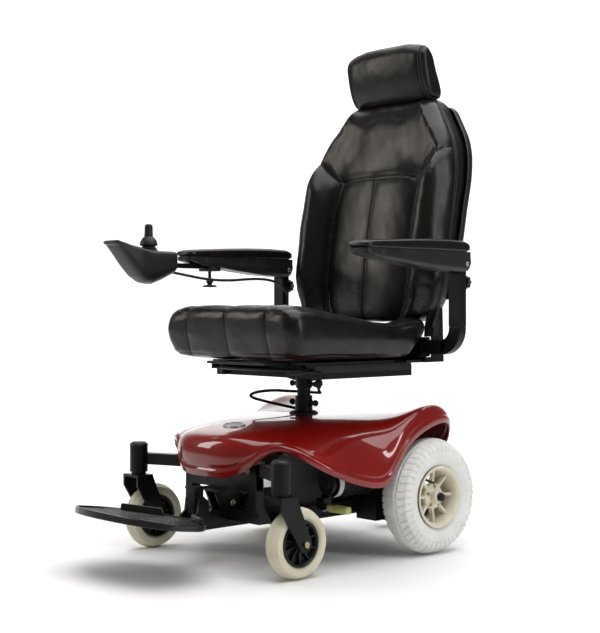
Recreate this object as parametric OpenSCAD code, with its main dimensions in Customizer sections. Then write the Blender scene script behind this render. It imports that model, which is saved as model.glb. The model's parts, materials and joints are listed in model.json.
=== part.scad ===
// Power wheelchair: a rear-drive base under a red shroud, a padded captain's seat on a
// centre post, flip-up armrests, a fold-up footplate and a joystick pod on the right arm.
// Millimetres. +Z is up, the chair faces -Y and the occupant's left is +X.
// Z is 0 on the floor; X and Y are 0 in the middle of the chair's outer size.
// Most places below are measured from the drive axle, which lies axle_y behind the middle.

/* [Drive wheels] */
// Outer diameter of a drive tyre
wheel_d = 265; // [255:1:270]
// Width of a drive tyre
wheel_w = 78; // [70:1:80]
// Distance between the middle planes of the drive wheels
track = 490; // [488:1:500]
// Number of spokes in a drive rim
spokes = 8; // [6:1:10]

/* [Casters] */
// Outer diameter of a caster tyre
caster_d = 150; // [144:1:152]
// Width of a caster tyre
caster_w = 40; // [36:1:41]
// Distance between the caster stems
caster_track = 498; // [490:1:506]
// Distance from the drive axle forward to a caster's axle
wheelbase = 418; // [414:1:422]
// How far a caster's axle trails behind its stem
caster_trail = 42; // [38:1:46]

/* [Seat] */
// Width of the seat cushion
seat_w = 460; // [440:2:464]
// Depth of the seat cushion, front to rear
seat_depth = 428; // [420:2:436]
// Highest point of the cushion, on its front roll
seat_top = 576; // [566:1:580]
// Width of the backrest
back_w = 472; // [440:2:474]
// Width of the headrest
head_w = 272; // [250:2:290]
// Top of the headrest
head_top = 1223; // [1200:1:1230]

/* [Armrests] */
// Distance from the middle of the chair to the middle of an armrest
arm_x = 301; // [298:1:306]
// Width of an arm pad
pad_w = 62; // [56:1:64]
// Height of the top of an arm pad at its crown
pad_top = 718; // [714:1:722]

/* [Footrest] */
// Upward slope of the footplate towards the front, in degrees
foot_tilt = 8.2; // [6:0.1:9]
// Half of the footplate's width
foot_half_w = 172; // [160:1:180]

/* [Hidden] */
$fn = 64;
eps = 0.01;

// Distance from the middle of the outer size back to the drive axle
axle_y = 248.7;
axle_z = wheel_d / 2;
caster_x = caster_track / 2;
stem_y = -wheelbase - caster_trail;
caster_z = caster_d / 2;
// Running clearance on a radius
run = 0.05;
// Gap between bodies that pass each other
gap = 0.3;
tube = 25;

black = "#1c1c1e";
charcoal = "#2b2b2e";
steel = "#9a9ca0";
zinc = "#c9b765";

// Heights of the base
bolt_hole_r = 4.25;
rail_z = 95;
rail_x = 110;
post_y = -164;
socket_top = 358;
post_r = 15.75;
sleeve_z = 376;
seat_rail_z = 406;
seat_rail_x = 164;
pan_z = 437;
pan_t = 6;
cushion_z = pan_z + pan_t + gap;

// The recline axis and the arm pivots
recline_y = 65;
recline_z = 583;
arm_post_y = 36;
arm_pivot_z = 664;
arm_post_w = 34;
arm_post_d = 22;
arm_bend_z = 516;
arm_low_z = 456;

// The footplate's hinge
foot_hinge_y = -514;
foot_hinge_z = 100;

// The joystick pod
pod_x = -arm_x;
pod_rear = -334;
stick_y = -394;
stick_z = 690;
key_y = -440;

// ---------- helpers ----------

// Moves what is measured from the drive axle into place
module on_axle() {
    translate([0, axle_y, 0]) children();
}

// Draws the left side as it is, and mirrors it for the right side
module on_side(side) {
    if (side > 0) children();
    else mirror([1, 0, 0]) children();
}

// A box from its lowest corner to its highest
module block(low, high) {
    translate(low) cube(high - low);
}

// A box that is symmetrical about the middle plane
module wide_block(half_w, low_y, low_z, high_y, high_z) {
    block([-half_w, low_y, low_z], [half_w, high_y, high_z]);
}

// A cylinder along X from x0 to x1
module rod_x(r, x0, x1, y, z) {
    translate([x0, y, z]) rotate([0, 90, 0]) cylinder(r = r, h = x1 - x0);
}

// A cylinder along Y from y0 to y1
module rod_y(r, y0, y1, x, z) {
    translate([x, y1, z]) rotate([90, 0, 0]) cylinder(r = r, h = y1 - y0);
}

// A cylinder along Z from z0 to z1
module rod_z(r, z0, z1, x, y) {
    translate([x, y, z0]) cylinder(r = r, h = z1 - z0);
}

// Extrudes an outline drawn in Y and Z along X, from x0 to x1
module along_x(x0, x1) {
    translate([x0, 0, 0]) rotate([90, 0, 90]) linear_extrude(x1 - x0) children();
}

// Extrudes an outline drawn in X and Z along Y, from y0 to y1
module along_y(y0, y1) {
    translate([0, y1, 0]) rotate([90, 0, 0]) linear_extrude(y1 - y0) children();
}

// A rectangle with round corners, drawn without offset
module round_rect(x0, y0, x1, y1, r) {
    translate([x0 + r, y0]) square([x1 - x0 - 2 * r, y1 - y0]);
    translate([x0, y0 + r]) square([x1 - x0, y1 - y0 - 2 * r]);
    for (x = [x0 + r, x1 - r], y = [y0 + r, y1 - r]) translate([x, y]) circle(r = r);
}

// Turns a half section, drawn as radius and width, about a wheel's axle
module turned(x, y, z) {
    translate([x, y, z]) rotate([0, 90, 0]) rotate_extrude() children();
}

// A hexagon head or nut of a given width over flats, along X
module hex_x(flats, x0, x1, y, z) {
    translate([x0, y, z]) rotate([0, 90, 0])
        cylinder(d = flats / cos(30), h = x1 - x0, $fn = 6);
}

// ---------- swept leads ----------

// Catmull-Rom point between p1 and p2
function curve_at(p0, p1, p2, p3, t) =
    0.5 * ((2 * p1) + (p2 - p0) * t + (2 * p0 - 5 * p1 + 4 * p2 - p3) * t * t
           + (3 * p1 - p0 - 3 * p2 + p3) * t * t * t);
function clamp_i(i, n) = min(max(i, 0), n - 1);
function curve(p, steps) = [
    for (i = [0 : len(p) - 2], k = [0 : steps - 1])
        curve_at(p[clamp_i(i - 1, len(p))], p[i], p[i + 1],
                 p[clamp_i(i + 2, len(p))], k / steps),
    p[len(p) - 1]];
function unit(v) = v / norm(v);
function side_of(d) = abs(d[2]) > 0.9 ? unit(cross(d, [1, 0, 0])) : unit(cross(d, [0, 0, 1]));
// Carries a ring's first direction along the route without a twist
function carried(p, i, s) =
    i == len(p) ? [] :
    let (d = unit(p[clamp_i(i + 1, len(p))] - p[clamp_i(i - 1, len(p))]),
         a = unit(s - (s * d) * d))
    concat([[a, cross(d, a)]], carried(p, i + 1, a));

module lead(route, r, sides, steps) {
    p = curve(route, steps);
    n = len(p);
    frames = carried(p, 0, side_of(unit(p[1] - p[0])));
    points = [for (i = [0 : n - 1], k = [0 : sides - 1])
        p[i] + r * (cos(360 * k / sides) * frames[i][0] + sin(360 * k / sides) * frames[i][1])];
    walls = [for (i = [0 : n - 2], k = [0 : sides - 1])
        [i * sides + k, i * sides + (k + 1) % sides,
         (i + 1) * sides + (k + 1) % sides, (i + 1) * sides + k]];
    ends = [[for (k = [0 : sides - 1]) sides - 1 - k], [for (k = [0 : sides - 1]) (n - 1) * sides + k]];
    polyhedron(points, concat([for (f = walls) [f[3], f[2], f[1], f[0]]],
                              [for (f = ends) [for (k = [sides - 1 : -1 : 0]) f[k]]]));
}

// ---------- base ----------

module main_frame() color(black) on_axle() {
    for (s = [-1, 1]) on_side(s) {
        block([rail_x - tube / 2, -410, rail_z], [rail_x + tube / 2, 60, rail_z + tube]);
        block([rail_x - tube / 2, -420, rail_z + tube], [rail_x + tube / 2, -396, 166]);
        block([rail_x + tube / 2, -50, rail_z], [rail_x + tube / 2 + 6, 50, 185]);
        for (y = [-48, 42]) block([rail_x - tube / 2, y, rail_z + tube], [rail_x + tube / 2, y + 6, 185]);
    }
    difference() {
        wide_block(rail_x + 12, -420, 166, -396, 225);
        wide_block(rail_x + 20, -417, 169, -399, 222);
    }
    wide_block(rail_x - tube / 2, -410, rail_z, -385, rail_z + tube);
    wide_block(rail_x - tube / 2, post_y - 25, rail_z, post_y + 25, rail_z + tube);
    difference() {
        wide_block(rail_x - tube / 2, 35, rail_z, 60, rail_z + tube);
        for (x = [-40, 40]) rod_y(bolt_hole_r, 30, 65, x, rail_z + tube / 2);
    }
}

// Welded arm that reaches out to a caster's upright barrel
module caster_arm(side) color(black) on_axle() on_side(side) difference() {
    union() {
        translate([rail_x + 10, -408, 199]) rotate([0, 0, -21.8])
            cube([135, tube, 26]);
        rod_z(21, 182, 244, caster_x, stem_y);
        translate([caster_x, stem_y, 244]) cylinder(r1 = 21, r2 = 16, h = 6);
    }
    rod_z(10, 181, 238, caster_x, stem_y);
    block([0, -430, 190], [rail_x + 12, -396, 230]);
}

module footrest_hanger() color(black) on_axle() difference() {
    union() {
        for (s = [-1, 1]) on_side(s) {
            along_x(13, 18) polygon([[-448, 160], [-420, 100], [-340, 100], [-340, 130],
                                     [-396, 165], [-448, 165]]);
            rod_x(6, 18, 24, -400, 132);
            rod_x(6, 18, 24, -362, 112);
        }
        wide_block(40, -448, 160, -396, 165.8);
        along_x(28, 36) polygon([[-392, 96], [-378, 96], [-352, 150], [-366, 150]]);
        rod_x(4, 24, 36, -385, 122);
        rod_x(4, 24, 36, -359, 145);
    }
    wide_block(rail_x, -410 - gap, rail_z - gap, -385 + gap, rail_z + tube + gap);
}

module footrest_beam() color(black) on_axle() {
    wide_block(12.5, -476, 78, -410.3, 118);
    wide_block(12.5, -411, 78, -331, 94.7);
    difference() {
        wide_block(12.5, -500.5, 80, -475.5, 170);
        rod_z(8, 120, 171, 0, -488);
    }
    wide_block(18.5, -503, 170, -470, 174);
    for (s = [-1, 1]) on_side(s) difference() {
        along_x(19, 25) union() {
            translate([foot_hinge_y, foot_hinge_z]) circle(r = 9);
            polygon([[foot_hinge_y, foot_hinge_z + 9], [-500, 122], [-496, 150], [-484, 154], [-470, 140],
                     [-470, 90], [foot_hinge_y, foot_hinge_z - 9]]);
        }
        rod_x(5 + run, 18, 26, foot_hinge_y, foot_hinge_z);
    }
    for (s = [-1, 1]) on_side(s) block([12.5, -498, 100], [19, -474, 140]);
}

module post_socket() color(black) on_axle() difference() {
    union() {
        rod_z(20.5, rail_z + tube, socket_top, 0, post_y);
        for (s = [-1, 1]) on_side(s) {
            along_y(post_y - 3, post_y + 3) polygon([[19, rail_z + tube], [92, rail_z + tube],
                                                     [80, 150], [19, 300]]);
            rod_x(4, 17, 42, post_y, 342);
            hex_x(13, 20, 27, post_y, 342);
            hex_x(13, 36, 43, post_y, 342);
        }
    }
    rod_z(post_r + run, rail_z + tube + 10, socket_top + 1, 0, post_y);
}

module battery_tray() color(charcoal) on_axle() difference() {
    wide_block(97, -330, 84, 33, 94.9);
    wide_block(94.5, -327.5, 88, -192, 96);
    wide_block(94.5, -136, 88, 30.5, 96);
}

module batteries() color("#3a3d42") on_axle() {
    for (y = [-325, -133]) {
        wide_block(93, y, 88, y + 130, 236);
        for (x = [-60, 60]) rod_z(8, 236, 248, x, y + 30);
    }
}

module control_module() color(steel) on_axle() {
    wide_block(85, -384, 168, -338, 214);
    for (x = [-60 : 20 : 60]) block([x - 3, -380, 214], [x + 3, -342, 222]);
}

// Outline of the shroud: one row for each station from the nose round to the tail, and
// in each row the points from the lower edge up and in to the middle of the deck.
shroud_net = [
    [[0, -464, 196], [0, -474, 225], [0, -471, 274], [0, -448, 288], [0, -385, 299], [0, -330, 311]],
    [[40, -464, 195], [40, -473, 225], [39, -470, 274], [37, -446, 288], [26, -385, 299], [0, -322, 312]],
    [[82, -458, 198], [84, -466, 226], [82, -463, 274], [74, -440, 288], [42, -380, 300], [0, -312, 314]],
    [[116, -440, 214], [120, -447, 234], [118, -444, 274], [104, -420, 289], [57, -367, 302], [0, -300, 316]],
    [[144, -416, 246], [150, -422, 254], [146, -416, 272], [122, -390, 290], [68, -345, 306], [0, -285, 316]],
    [[178, -402, 263], [184, -405, 268], [176, -397, 279], [146, -362, 294], [80, -322, 309], [0, -268, 316]],
    [[214, -382, 250], [220, -382, 258], [202, -364, 272], [164, -330, 296], [88, -292, 312], [0, -248, 316]],
    [[246, -346, 219], [252, -344, 234], [214, -326, 266], [172, -292, 302], [92, -258, 314], [0, -226, 316]],
    [[261, -276, 188], [267, -275, 212], [222, -264, 264], [176, -242, 308], [94, -222, 316], [0, -200, 316]],
    [[268, -204, 168], [274, -205, 198], [230, -192, 268], [180, -184, 311], [95, -176, 317], [0, -166, 316]],
    [[269, -156, 170], [275, -162, 208], [240, -150, 284], [184, -140, 312], [96, -136, 317], [0, -132, 316]],
    [[267, -124, 220], [272, -128, 248], [250, -116, 302], [188, -106, 312], [97, -104, 317], [0, -102, 316]],
    [[264, -82, 264], [269, -86, 282], [254, -78, 326], [196, -74, 314], [98, -74, 316], [0, -74, 316]],
    [[261, -16, 293], [266, -18, 308], [252, -16, 353], [202, -20, 324], [100, -34, 316], [0, -44, 316]],
    [[258, 54, 306], [262, 54, 318], [246, 44, 352], [206, 24, 324], [102, 0, 316], [0, -16, 316]],
    [[226, 96, 272], [230, 100, 296], [218, 88, 320], [188, 58, 316], [98, 26, 315], [0, 6, 315]],
    [[196, 112, 226], [198, 116, 256], [190, 108, 298], [160, 84, 312], [86, 48, 314], [0, 24, 315]],
    [[120, 120, 200], [120, 126, 240], [116, 118, 290], [100, 98, 309], [56, 64, 313], [0, 40, 314]],
    [[0, 124, 196], [0, 130, 238], [0, 122, 290], [0, 104, 308], [0, 74, 313], [0, 50, 314]]];
shroud_t = 3;
shroud_cols = 46;
shroud_rows = 10;

// Weights of a uniform cubic B-spline
function spline_w(t) = [pow(1 - t, 3), 3 * pow(t, 3) - 6 * t * t + 4,
                        -3 * pow(t, 3) + 3 * t * t + 3 * t + 1, pow(t, 3)] / 6;
function flip_x(p) = [-p[0], p[1], p[2]];
// A control point; past the ends the net is mirrored in the middle plane or carried on straight
function net_row(i, j) =
    i < 0 ? flip_x(net_row(-i, j)) :
    i > len(shroud_net) - 1 ? flip_x(net_row(2 * len(shroud_net) - 2 - i, j)) :
    j < 0 ? 2 * shroud_net[i][0] - shroud_net[i][1] :
    j > 5 ? flip_x(shroud_net[i][10 - j]) : shroud_net[i][j];
function shroud_at(u, v) =
    let (i = min(floor(u), len(shroud_net) - 2), j = min(floor(v), 4),
         a = spline_w(u - i), b = spline_w(v - j))
    [for (c = [0 : 2]) let (s = [for (m = [0 : 3], n = [0 : 3])
        a[m] * b[n] * net_row(i + m - 1, j + n - 1)[c]]) s * [for (k = s) 1]];
function shroud_normal(u, v) =
    let (h = 0.02, du = shroud_at(u + h, v) - shroud_at(max(u - h, 0), v),
         dv = shroud_at(u, min(v + h, 5)) - shroud_at(u, max(v - h, 0)))
    unit(cross(du, dv));

// Index of a point of the shell's outer skin
function at(i, j) = (i % (2 * shroud_cols)) * (shroud_rows + 1) + j;

module shroud_skin() {
    m = shroud_cols;
    n = shroud_rows;
    us = [for (i = [0 : m]) (len(shroud_net) - 1) * i / m];
    vs = [for (j = [0 : n]) 4.9 * j / n];
    outer = [for (u = us) [for (v = vs) shroud_at(u, v)]];
    inner = [for (u = us) [for (v = vs) shroud_at(u, v) - shroud_t * shroud_normal(u, v)]];
    half_out = [for (i = [0 : m]) [for (j = [0 : n]) i == 0 || i == m ? [0, outer[i][j][1], outer[i][j][2]]
                                                                      : outer[i][j]]];
    half_in = [for (i = [0 : m]) [for (j = [0 : n]) i == 0 || i == m ? [0, inner[i][j][1], inner[i][j][2]]
                                                                     : inner[i][j]]];
    full_out = concat(half_out, [for (i = [m - 1 : -1 : 1]) [for (p = half_out[i]) flip_x(p)]]);
    full_in = concat(half_in, [for (i = [m - 1 : -1 : 1]) [for (p = half_in[i]) flip_x(p)]]);
    rings = 2 * m;
    w = n + 1;
    pts = [for (r = full_out, p = r) p, for (r = full_in, p = r) p,
           [0, -140, 316], [0, -140, 316 - shroud_t]];
    base = rings * w;
    top_mid = 2 * base;
    polyhedron(pts, concat(
        [for (i = [0 : rings - 1], j = [0 : n - 1]) each [[at(i, j), at(i + 1, j), at(i + 1, j + 1)],
                                                           [at(i, j), at(i + 1, j + 1), at(i, j + 1)]]],
        [for (i = [0 : rings - 1], j = [0 : n - 1]) each [
            [base + at(i, j), base + at(i + 1, j + 1), base + at(i + 1, j)],
            [base + at(i, j), base + at(i, j + 1), base + at(i + 1, j + 1)]]],
        [for (i = [0 : rings - 1]) each [[at(i, 0), base + at(i, 0), base + at(i + 1, 0)],
                                          [at(i, 0), base + at(i + 1, 0), at(i + 1, 0)]]],
        [for (i = [0 : rings - 1]) [at(i, n), at(i + 1, n), top_mid]],
        [for (i = [0 : rings - 1]) [base + at(i + 1, n), base + at(i, n), top_mid + 1]]));
}

module shroud() color("#8e1714") on_axle() difference() {
    shroud_skin();
    rod_z(23, 280, 340, 0, post_y);
}

// Worm-drive motor: the motor lies along the frame and turns the wheel's axle
module gearmotor(side) color(black) on_axle() on_side(side) {
    block([rail_x + tube / 2 + 6, -44, 84], [192, 44, 178]);
    block([rail_x + tube / 2 + 6, -118, 80], [190, -43.9, 150]);
    rod_x(38, 186, 198, 0, axle_z);
    rod_y(32, -236, -44, 161, 174);
    rod_y(26, -246, -236, 161, 174);
    rod_x(8.5, 198, track / 2 + 30, 0, axle_z);
    hex_x(17, track / 2 + 34.4, track / 2 + 42, 0, axle_z);
    rod_x(5, track / 2 + 29, track / 2 + 43, 0, axle_z);
    block([146, -262, 118], [170, -238, 142.5]);
    block([146, -246, 142], [170, -236, 150]);
    rod_z(5, 108, 119, 158, -250);
}

// Lever that frees the brake so that the chair can be pushed by hand
module release_lever(side) color("#cfd27a") on_axle() on_side(side) {
    difference() {
        union() {
            rod_z(10, 110, 117.7, 158, -250);
            block([158, -258, 111], [186, -242, 117]);
            along_x(184, 236) translate([-259, 104]) round_rect(0, 0, 18, 20, 6);
        }
        rod_z(5 + run, 105, 118, 158, -250);
    }
}

module anti_tip_frame() color(black) on_axle() {
    for (s = [-1, 1]) on_side(s) {
        block([69, 60, 97], [91, 196, 119]);
        for (x = [[64, 69], [91, 96]]) along_x(x[0], x[1]) difference() {
            union() {
                translate([198, 46]) circle(r = 13);
                polygon([[185, 46], [211, 46], [205, 119], [170, 119], [170, 97]]);
            }
            translate([198, 46]) circle(r = 4);
        }
        rod_x(4, 62, 98, 198, 46);
        hex_x(12, 58, 63.9, 198, 46);
        hex_x(12, 96.1, 102, 198, 46);
    }
}

module anti_tip_wheel(side) color("#3c3c3e") on_axle() on_side(side)
    turned(80, 198, 46) difference() {
        round_rect(4 + run, -11, 31, 11, 4);
        translate([4 + run - 5, -11]) square([5, 22]);
    }

// ---------- drive wheels ----------

rim_r = 67;
module drive_rim(side) color("#d9d3b4") on_axle() on_side(side) difference() {
    union() {
        turned(track / 2, 0, axle_z) {
            translate([rim_r - 6, -30]) square([4, 60]);
            for (w = [-33, 29]) translate([rim_r - 6, w]) square([6, 4]);
            translate([8.5 + run, -34]) square([12, 56]);
            translate([8.5 + run, 20]) square([7, 14]);
            translate([18, 4]) square([12, 12]);
        }
        for (k = [0 : spokes - 1]) translate([track / 2, 0, axle_z]) rotate([360 * k / spokes, 0, 0])
            translate([5, -3.5, 28]) cube([10, 7, rim_r - 33]);
    }
    for (k = [0 : 4]) translate([track / 2 + 10, 0, axle_z]) rotate([72 * k, 0, 0])
        rod_x(2.5, 0, 12, 0, 23);
}

module drive_tyre(side) color("#e9e8e2") on_axle() on_side(side)
    turned(track / 2, 0, axle_z) difference() {
        round_rect(rim_r + 0.1 - 8, -wheel_w / 2, wheel_d / 2, wheel_w / 2, 28);
        translate([0, -wheel_w]) square([rim_r + 0.1, 2 * wheel_w]);
    }

// ---------- casters ----------

fork_in = caster_w / 2 + 4;
module caster_fork(side) color(black) on_axle() on_side(side) difference() {
    union() {
        rod_z(10 - run, 172, 234, caster_x, stem_y);
        rod_z(17, 176, 181.5, caster_x, stem_y);
        block([caster_x - fork_in - 5, stem_y - 24, 170], [caster_x + fork_in + 5, stem_y + 20, 176]);
        for (x = [-fork_in - 5, fork_in]) along_x(caster_x + x, caster_x + x + 5) union() {
            translate([-wheelbase, caster_z]) circle(r = 18);
            polygon([[stem_y - 24, 172], [stem_y - 24, 150], [-wheelbase - 17.4, caster_z - 4.5],
                     [-wheelbase + 17.2, caster_z + 5.5], [stem_y + 34, 138], [stem_y + 20, 172]]);
        }
    }
    rod_x(5, caster_x - 40, caster_x + 40, -wheelbase, caster_z);
}

module caster_axle(side) color(zinc) on_axle() on_side(side) {
    rod_x(5 - run, caster_x - fork_in - 8, caster_x + fork_in + 9, -wheelbase, caster_z);
    hex_x(13, caster_x + fork_in + 5.1, caster_x + fork_in + 11, -wheelbase, caster_z);
    hex_x(13, caster_x - fork_in - 11, caster_x - fork_in - 5.1, -wheelbase, caster_z);
}

caster_rim_r = 48;
module caster_hub(side) color(charcoal) on_axle() on_side(side) {
    turned(caster_x, -wheelbase, caster_z) {
        translate([5, -22]) square([9, 44]);
        translate([12, -3]) square([caster_rim_r - 14, 6]);
        translate([caster_rim_r - 5, -16]) square([5, 32]);
    }
    for (k = [0 : 9]) translate([caster_x, -wheelbase, caster_z]) rotate([36 * k, 0, 0])
        translate([-12, -1.5, 13]) cube([24, 3, caster_rim_r - 17]);
}

module caster_tyre(side) color("#d8d2b2") on_axle() on_side(side)
    turned(caster_x, -wheelbase, caster_z) difference() {
        round_rect(caster_rim_r + 0.1 - 8, -caster_w / 2, caster_d / 2, caster_w / 2, 12);
        translate([0, -caster_w]) square([caster_rim_r + 0.1, 2 * caster_w]);
        for (w = [-7, 0, 7]) translate([caster_d / 2, w]) circle(r = 1.2, $fn = 24);
    }

// ---------- footplate ----------

foot_len = 216;
foot_t = 9;
rib_pitch = 12;
// Half of the footplate's outline, from its hinge edge out and round to the front
foot_half = [[40, 16], [96, 30], [140, 58], [foot_half_w - 6, 92], [foot_half_w, 126],
             for (a = [0 : 15 : 90]) [foot_half_w * cos(a), 160 + (foot_len - 160) * sin(a)]];

module footplate() color(black) on_axle()
    translate([0, foot_hinge_y, foot_hinge_z]) rotate([-foot_tilt, 0, 0]) {
        mirror([0, 1, 0]) translate([0, 0, -4]) linear_extrude(foot_t)
            polygon(concat(foot_half,
                [for (i = [len(foot_half) - 1 : -1 : 0]) [-foot_half[i][0], foot_half[i][1]]]));
        for (s = [-1, 1]) on_side(s) {
            block([30, -40, -9], [44, 0, -3]);
            translate([30, 0, 0]) rotate([0, 90, 0]) cylinder(r = 9, h = 14);
            translate([52, -30, 4]) rotate([0, 0, -28]) cube([100, 8, 18]);
        }
        rod_x(5, -30.5, 30.5, 0, 0);
        for (k = [0 : 12]) block([-120, -200 + rib_pitch * k, 4.5], [120, -196 + rib_pitch * k, 7]);
    }

// ---------- seat frame ----------

module seat_post() color("#2a2a2c") on_axle() difference() {
    rod_z(post_r, 190, 405, 0, post_y);
    rod_z(post_r - 3, 189, 406, 0, post_y);
}

module seat_frame() color(black) on_axle() {
    difference() {
        rod_z(19, sleeve_z, 412, 0, post_y);
        rod_z(post_r + run, sleeve_z - 1, 406, 0, post_y);
        rod_x(4 + run, -20, 20, post_y, 386);
    }
    for (s = [-1, 1]) on_side(s) {
        block([seat_rail_x - tube / 2, -284, seat_rail_z], [seat_rail_x + tube / 2, 18, seat_rail_z + tube]);
        along_y(post_y - 3, post_y + 3) polygon([[18, 392], [24, 392], [130, 411], [18, 411]]);
    }
    wide_block(seat_rail_x - tube / 2, post_y - 40, 411, post_y + 40, 417);
    wide_block(seat_rail_x - tube / 2, -270, seat_rail_z, -245, 425);
    wide_block(seat_rail_x - tube / 2, -20, seat_rail_z, 5, 425);
}

module plate_bolts() color(black) on_axle() {
    rod_x(4, -42, 42, post_y, 386);
    for (x = [-43, -27, 20, 36]) hex_x(13, x, x + 7, post_y, 386);
}

module seat_pan() color(charcoal) on_axle() {
    for (s = [-1, 1]) on_side(s) {
        block([seat_rail_x - 15, -298, 431 + gap], [seat_rail_x + 15, 14, pan_z]);
        block([seat_rail_x + 12.5 + gap, -298, 420], [seat_rail_x + 15.5, 14, 432]);
        block([130, -306, 413], [136, -290, pan_z]);
        block([72, -372, pan_z], [100, -299, pan_z + pan_t]);
    }
    wide_block(seat_rail_x + 8, -300, pan_z, 55, pan_z + pan_t);
    wide_block(205, -30, pan_z, 55, pan_z + pan_t);
    wide_block(100, -376, pan_z, -352, pan_z + pan_t);
}

// Rod under the front of the seat that frees its fore-and-aft slides
module slide_lever() color(black) on_axle() {
    rod_x(4, -125, 222, -320, 425);
    rod_y(3.4, -400, -320, 217, 425);
    rod_y(7, -412, -374, 217, 425);
}

module seat_cushion() color("#19181a") on_axle() {
    rear = 16;
    front = rear - seat_depth;
    half = seat_w / 2;
    roll = seat_top - 4;
    // The middle panel is lower than the side bolsters towards the rear
    middle = [[front + 4, 460], [front, 500], [front + 4, 545], [front + 16, roll - 4], [front + 40, roll],
              [front + 90, 560], [-219, 538], [-140, 522], [rear, 508], [rear, cushion_z], [front + 30, cushion_z]];
    bolster = [[front + 4, 460], [front, 500], [front + 4, 545], [front + 16, roll - 4], [front + 40, seat_top],
               [-300, 567], [-219, 555], [-140, 541], [-31, 528], [rear, 525], [rear, cushion_z],
               [front + 30, cushion_z]];
    intersection() {
        union() {
            along_x(-half, half) polygon(middle);
            for (s = [-1, 1]) on_side(s) along_x(half - 92, half) polygon(bolster);
        }
        translate([0, 0, cushion_z]) linear_extrude(seat_top) round_rect(-half, front, half, rear, 46);
    }
}

// ---------- backrest ----------

module arm_receiver() color(black) on_axle() {
    for (s = [-1, 1]) on_side(s) difference() {
        block([40, arm_post_y - 15, 450], [205, arm_post_y + 15, 496]);
        block([55, arm_post_y - 11 - gap, 456 - gap], [206, arm_post_y + 11 + gap, 490 + gap]);
    }
    wide_block(41, arm_post_y - 15, 450, arm_post_y + 15, 496);
    wide_block(195, arm_post_y - 15, pan_z + pan_t, arm_post_y + 15, 450.2);
}

// Plates that join the pan to the backrest's hinge pins
module recline_hinges() color(black) on_axle() {
    for (s = [-1, 1]) on_side(s) {
        along_x(206, 212) difference() {
            union() {
                translate([recline_y, recline_z]) circle(r = 20);
                polygon([[24, 437], [92, 437], [88, 560], [recline_y + 19, recline_z],
                         [recline_y - 19, recline_z], [30, 520]]);
            }
            polygon([[arm_post_y - 16, 449], [arm_post_y + 16, 449], [arm_post_y + 16, 497],
                     [arm_post_y - 16, 497]]);
        }
        rod_x(7, 212, 221, recline_y, recline_z);
        rod_x(7, 198, 206, recline_y, recline_z);
        block([196, 55, pan_z], [206, 60, pan_z + pan_t]);
    }
}

// Side profiles of the backrest, as [y, z] up its front and down its rear
back_front = [[28, 526], [8, 545], [-4, 600], [0, 670], [6, 732], [18, 810], [40, 881], [74, 940],
              [98, 1010], [110, 1056]];
back_rear = [[222, 1060], [208, 1000], [179, 900], [153, 800], [133, 700], [120, 600]];

// Outline of the backrest from the front: straight sides that turn in to round shoulders
module back_outline(half, low, top, corner) {
    right = [[half - corner, low], [half - 0.3 * corner, low + 0.4 * corner],
             [half - 4, low + 1.5 * corner], [half, 720], [half, 870], [half - 7, 925],
             [half - 26, 972], [half - 58, 1016], [half - 82, top - 30], [half - 104, top]];
    polygon(concat(right, [for (i = [len(right) - 1 : -1 : 0]) [-right[i][0], right[i][1]]]));
}

// Headrest posts lean forward by this angle; the hole follows them
head_lean = 14;
head_x = 55;
head_y = 163;
module head_path(r, from, to) {
    for (x = [-head_x, head_x]) translate([x, head_y, 1075]) rotate([head_lean, 0, 0])
        translate([0, 0, from]) cylinder(r = r, h = to - from);
}

module back_cushion() color("#19181a") on_axle() difference() {
    intersection() {
        along_x(-250, 250) polygon(concat(back_front, [[126, 1081]],
            [for (p = back_rear) p + [-14, 0]], [[104, 536], [90, 526]]));
        along_y(-100, 400) back_outline(back_w / 2, 526, 1081, 60);
    }
    head_path(5 + run, -110, 40);
    for (s = [-1, 1]) on_side(s) {
        block([195, 20, 520], [240, 130, 606.5]);
        block([204, -20, 520], [240, 21, 606.5]);
    }
}

module back_shell() color(charcoal) on_axle() {
    difference() {
        intersection() {
            along_x(-250, 250) polygon(concat([for (p = back_rear) p + [9, 0]],
                [for (i = [len(back_rear) - 1 : -1 : 0]) back_rear[i] + [-13.8, 0]]));
            along_y(-100, 400) back_outline(back_w / 2 - 2, 580, 1060, 22);
        }
        head_path(5 + run, -110, 40);
    }
    for (s = [-1, 1]) on_side(s) difference() {
        along_x(195.7, 205.7) union() {
            translate([recline_y, recline_z]) circle(r = 17);
            polygon([[recline_y - 4, recline_z + 16.5], [recline_y + 14, recline_z - 9], [118, 582],
                     [118, 606], [recline_y + 10, 606]]);
        }
        rod_x(7 + run, 190, 210, recline_y, recline_z);
    }
}

module recline_lever() color(charcoal) on_axle() {
    difference() {
        union() {
            rod_x(12, 213, 220.6, recline_y, recline_z);
            along_x(214, 220) polygon([[recline_y - 4, recline_z - 11], [recline_y + 6, recline_z - 10],
                                       [recline_y - 8, 520], [recline_y - 20, 520]]);
            along_x(222, 228) polygon([[recline_y - 8, 540], [recline_y - 20, 540], [recline_y - 32, 500],
                                       [recline_y - 12, 500]]);
            along_x(214, 228) polygon([[recline_y - 8, 534], [recline_y - 20, 534], [recline_y - 20, 520],
                                       [recline_y - 8, 520]]);
        }
        rod_x(7 + run, 205, 221.5, recline_y, recline_z);
    }
}

module headrest_posts() color(steel) on_axle() head_path(5, -100, 70);

module headrest() color("#19181a") on_axle() difference() {
    intersection() {
        along_x(-head_w / 2, head_w / 2) polygon([[142, 1086], [118, 1124], [98, 1170], [92, 1198],
            [98, head_top - 8], [112, head_top], [130, head_top - 2], [146, 1204], [168, 1150], [184, 1100],
            [185, 1086]]);
        along_y(0, 400) round_rect(-head_w / 2, 1060, head_w / 2, head_top, 26);
    }
    head_path(5 + run, -20, 71);
}

// ---------- armrests ----------

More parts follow.
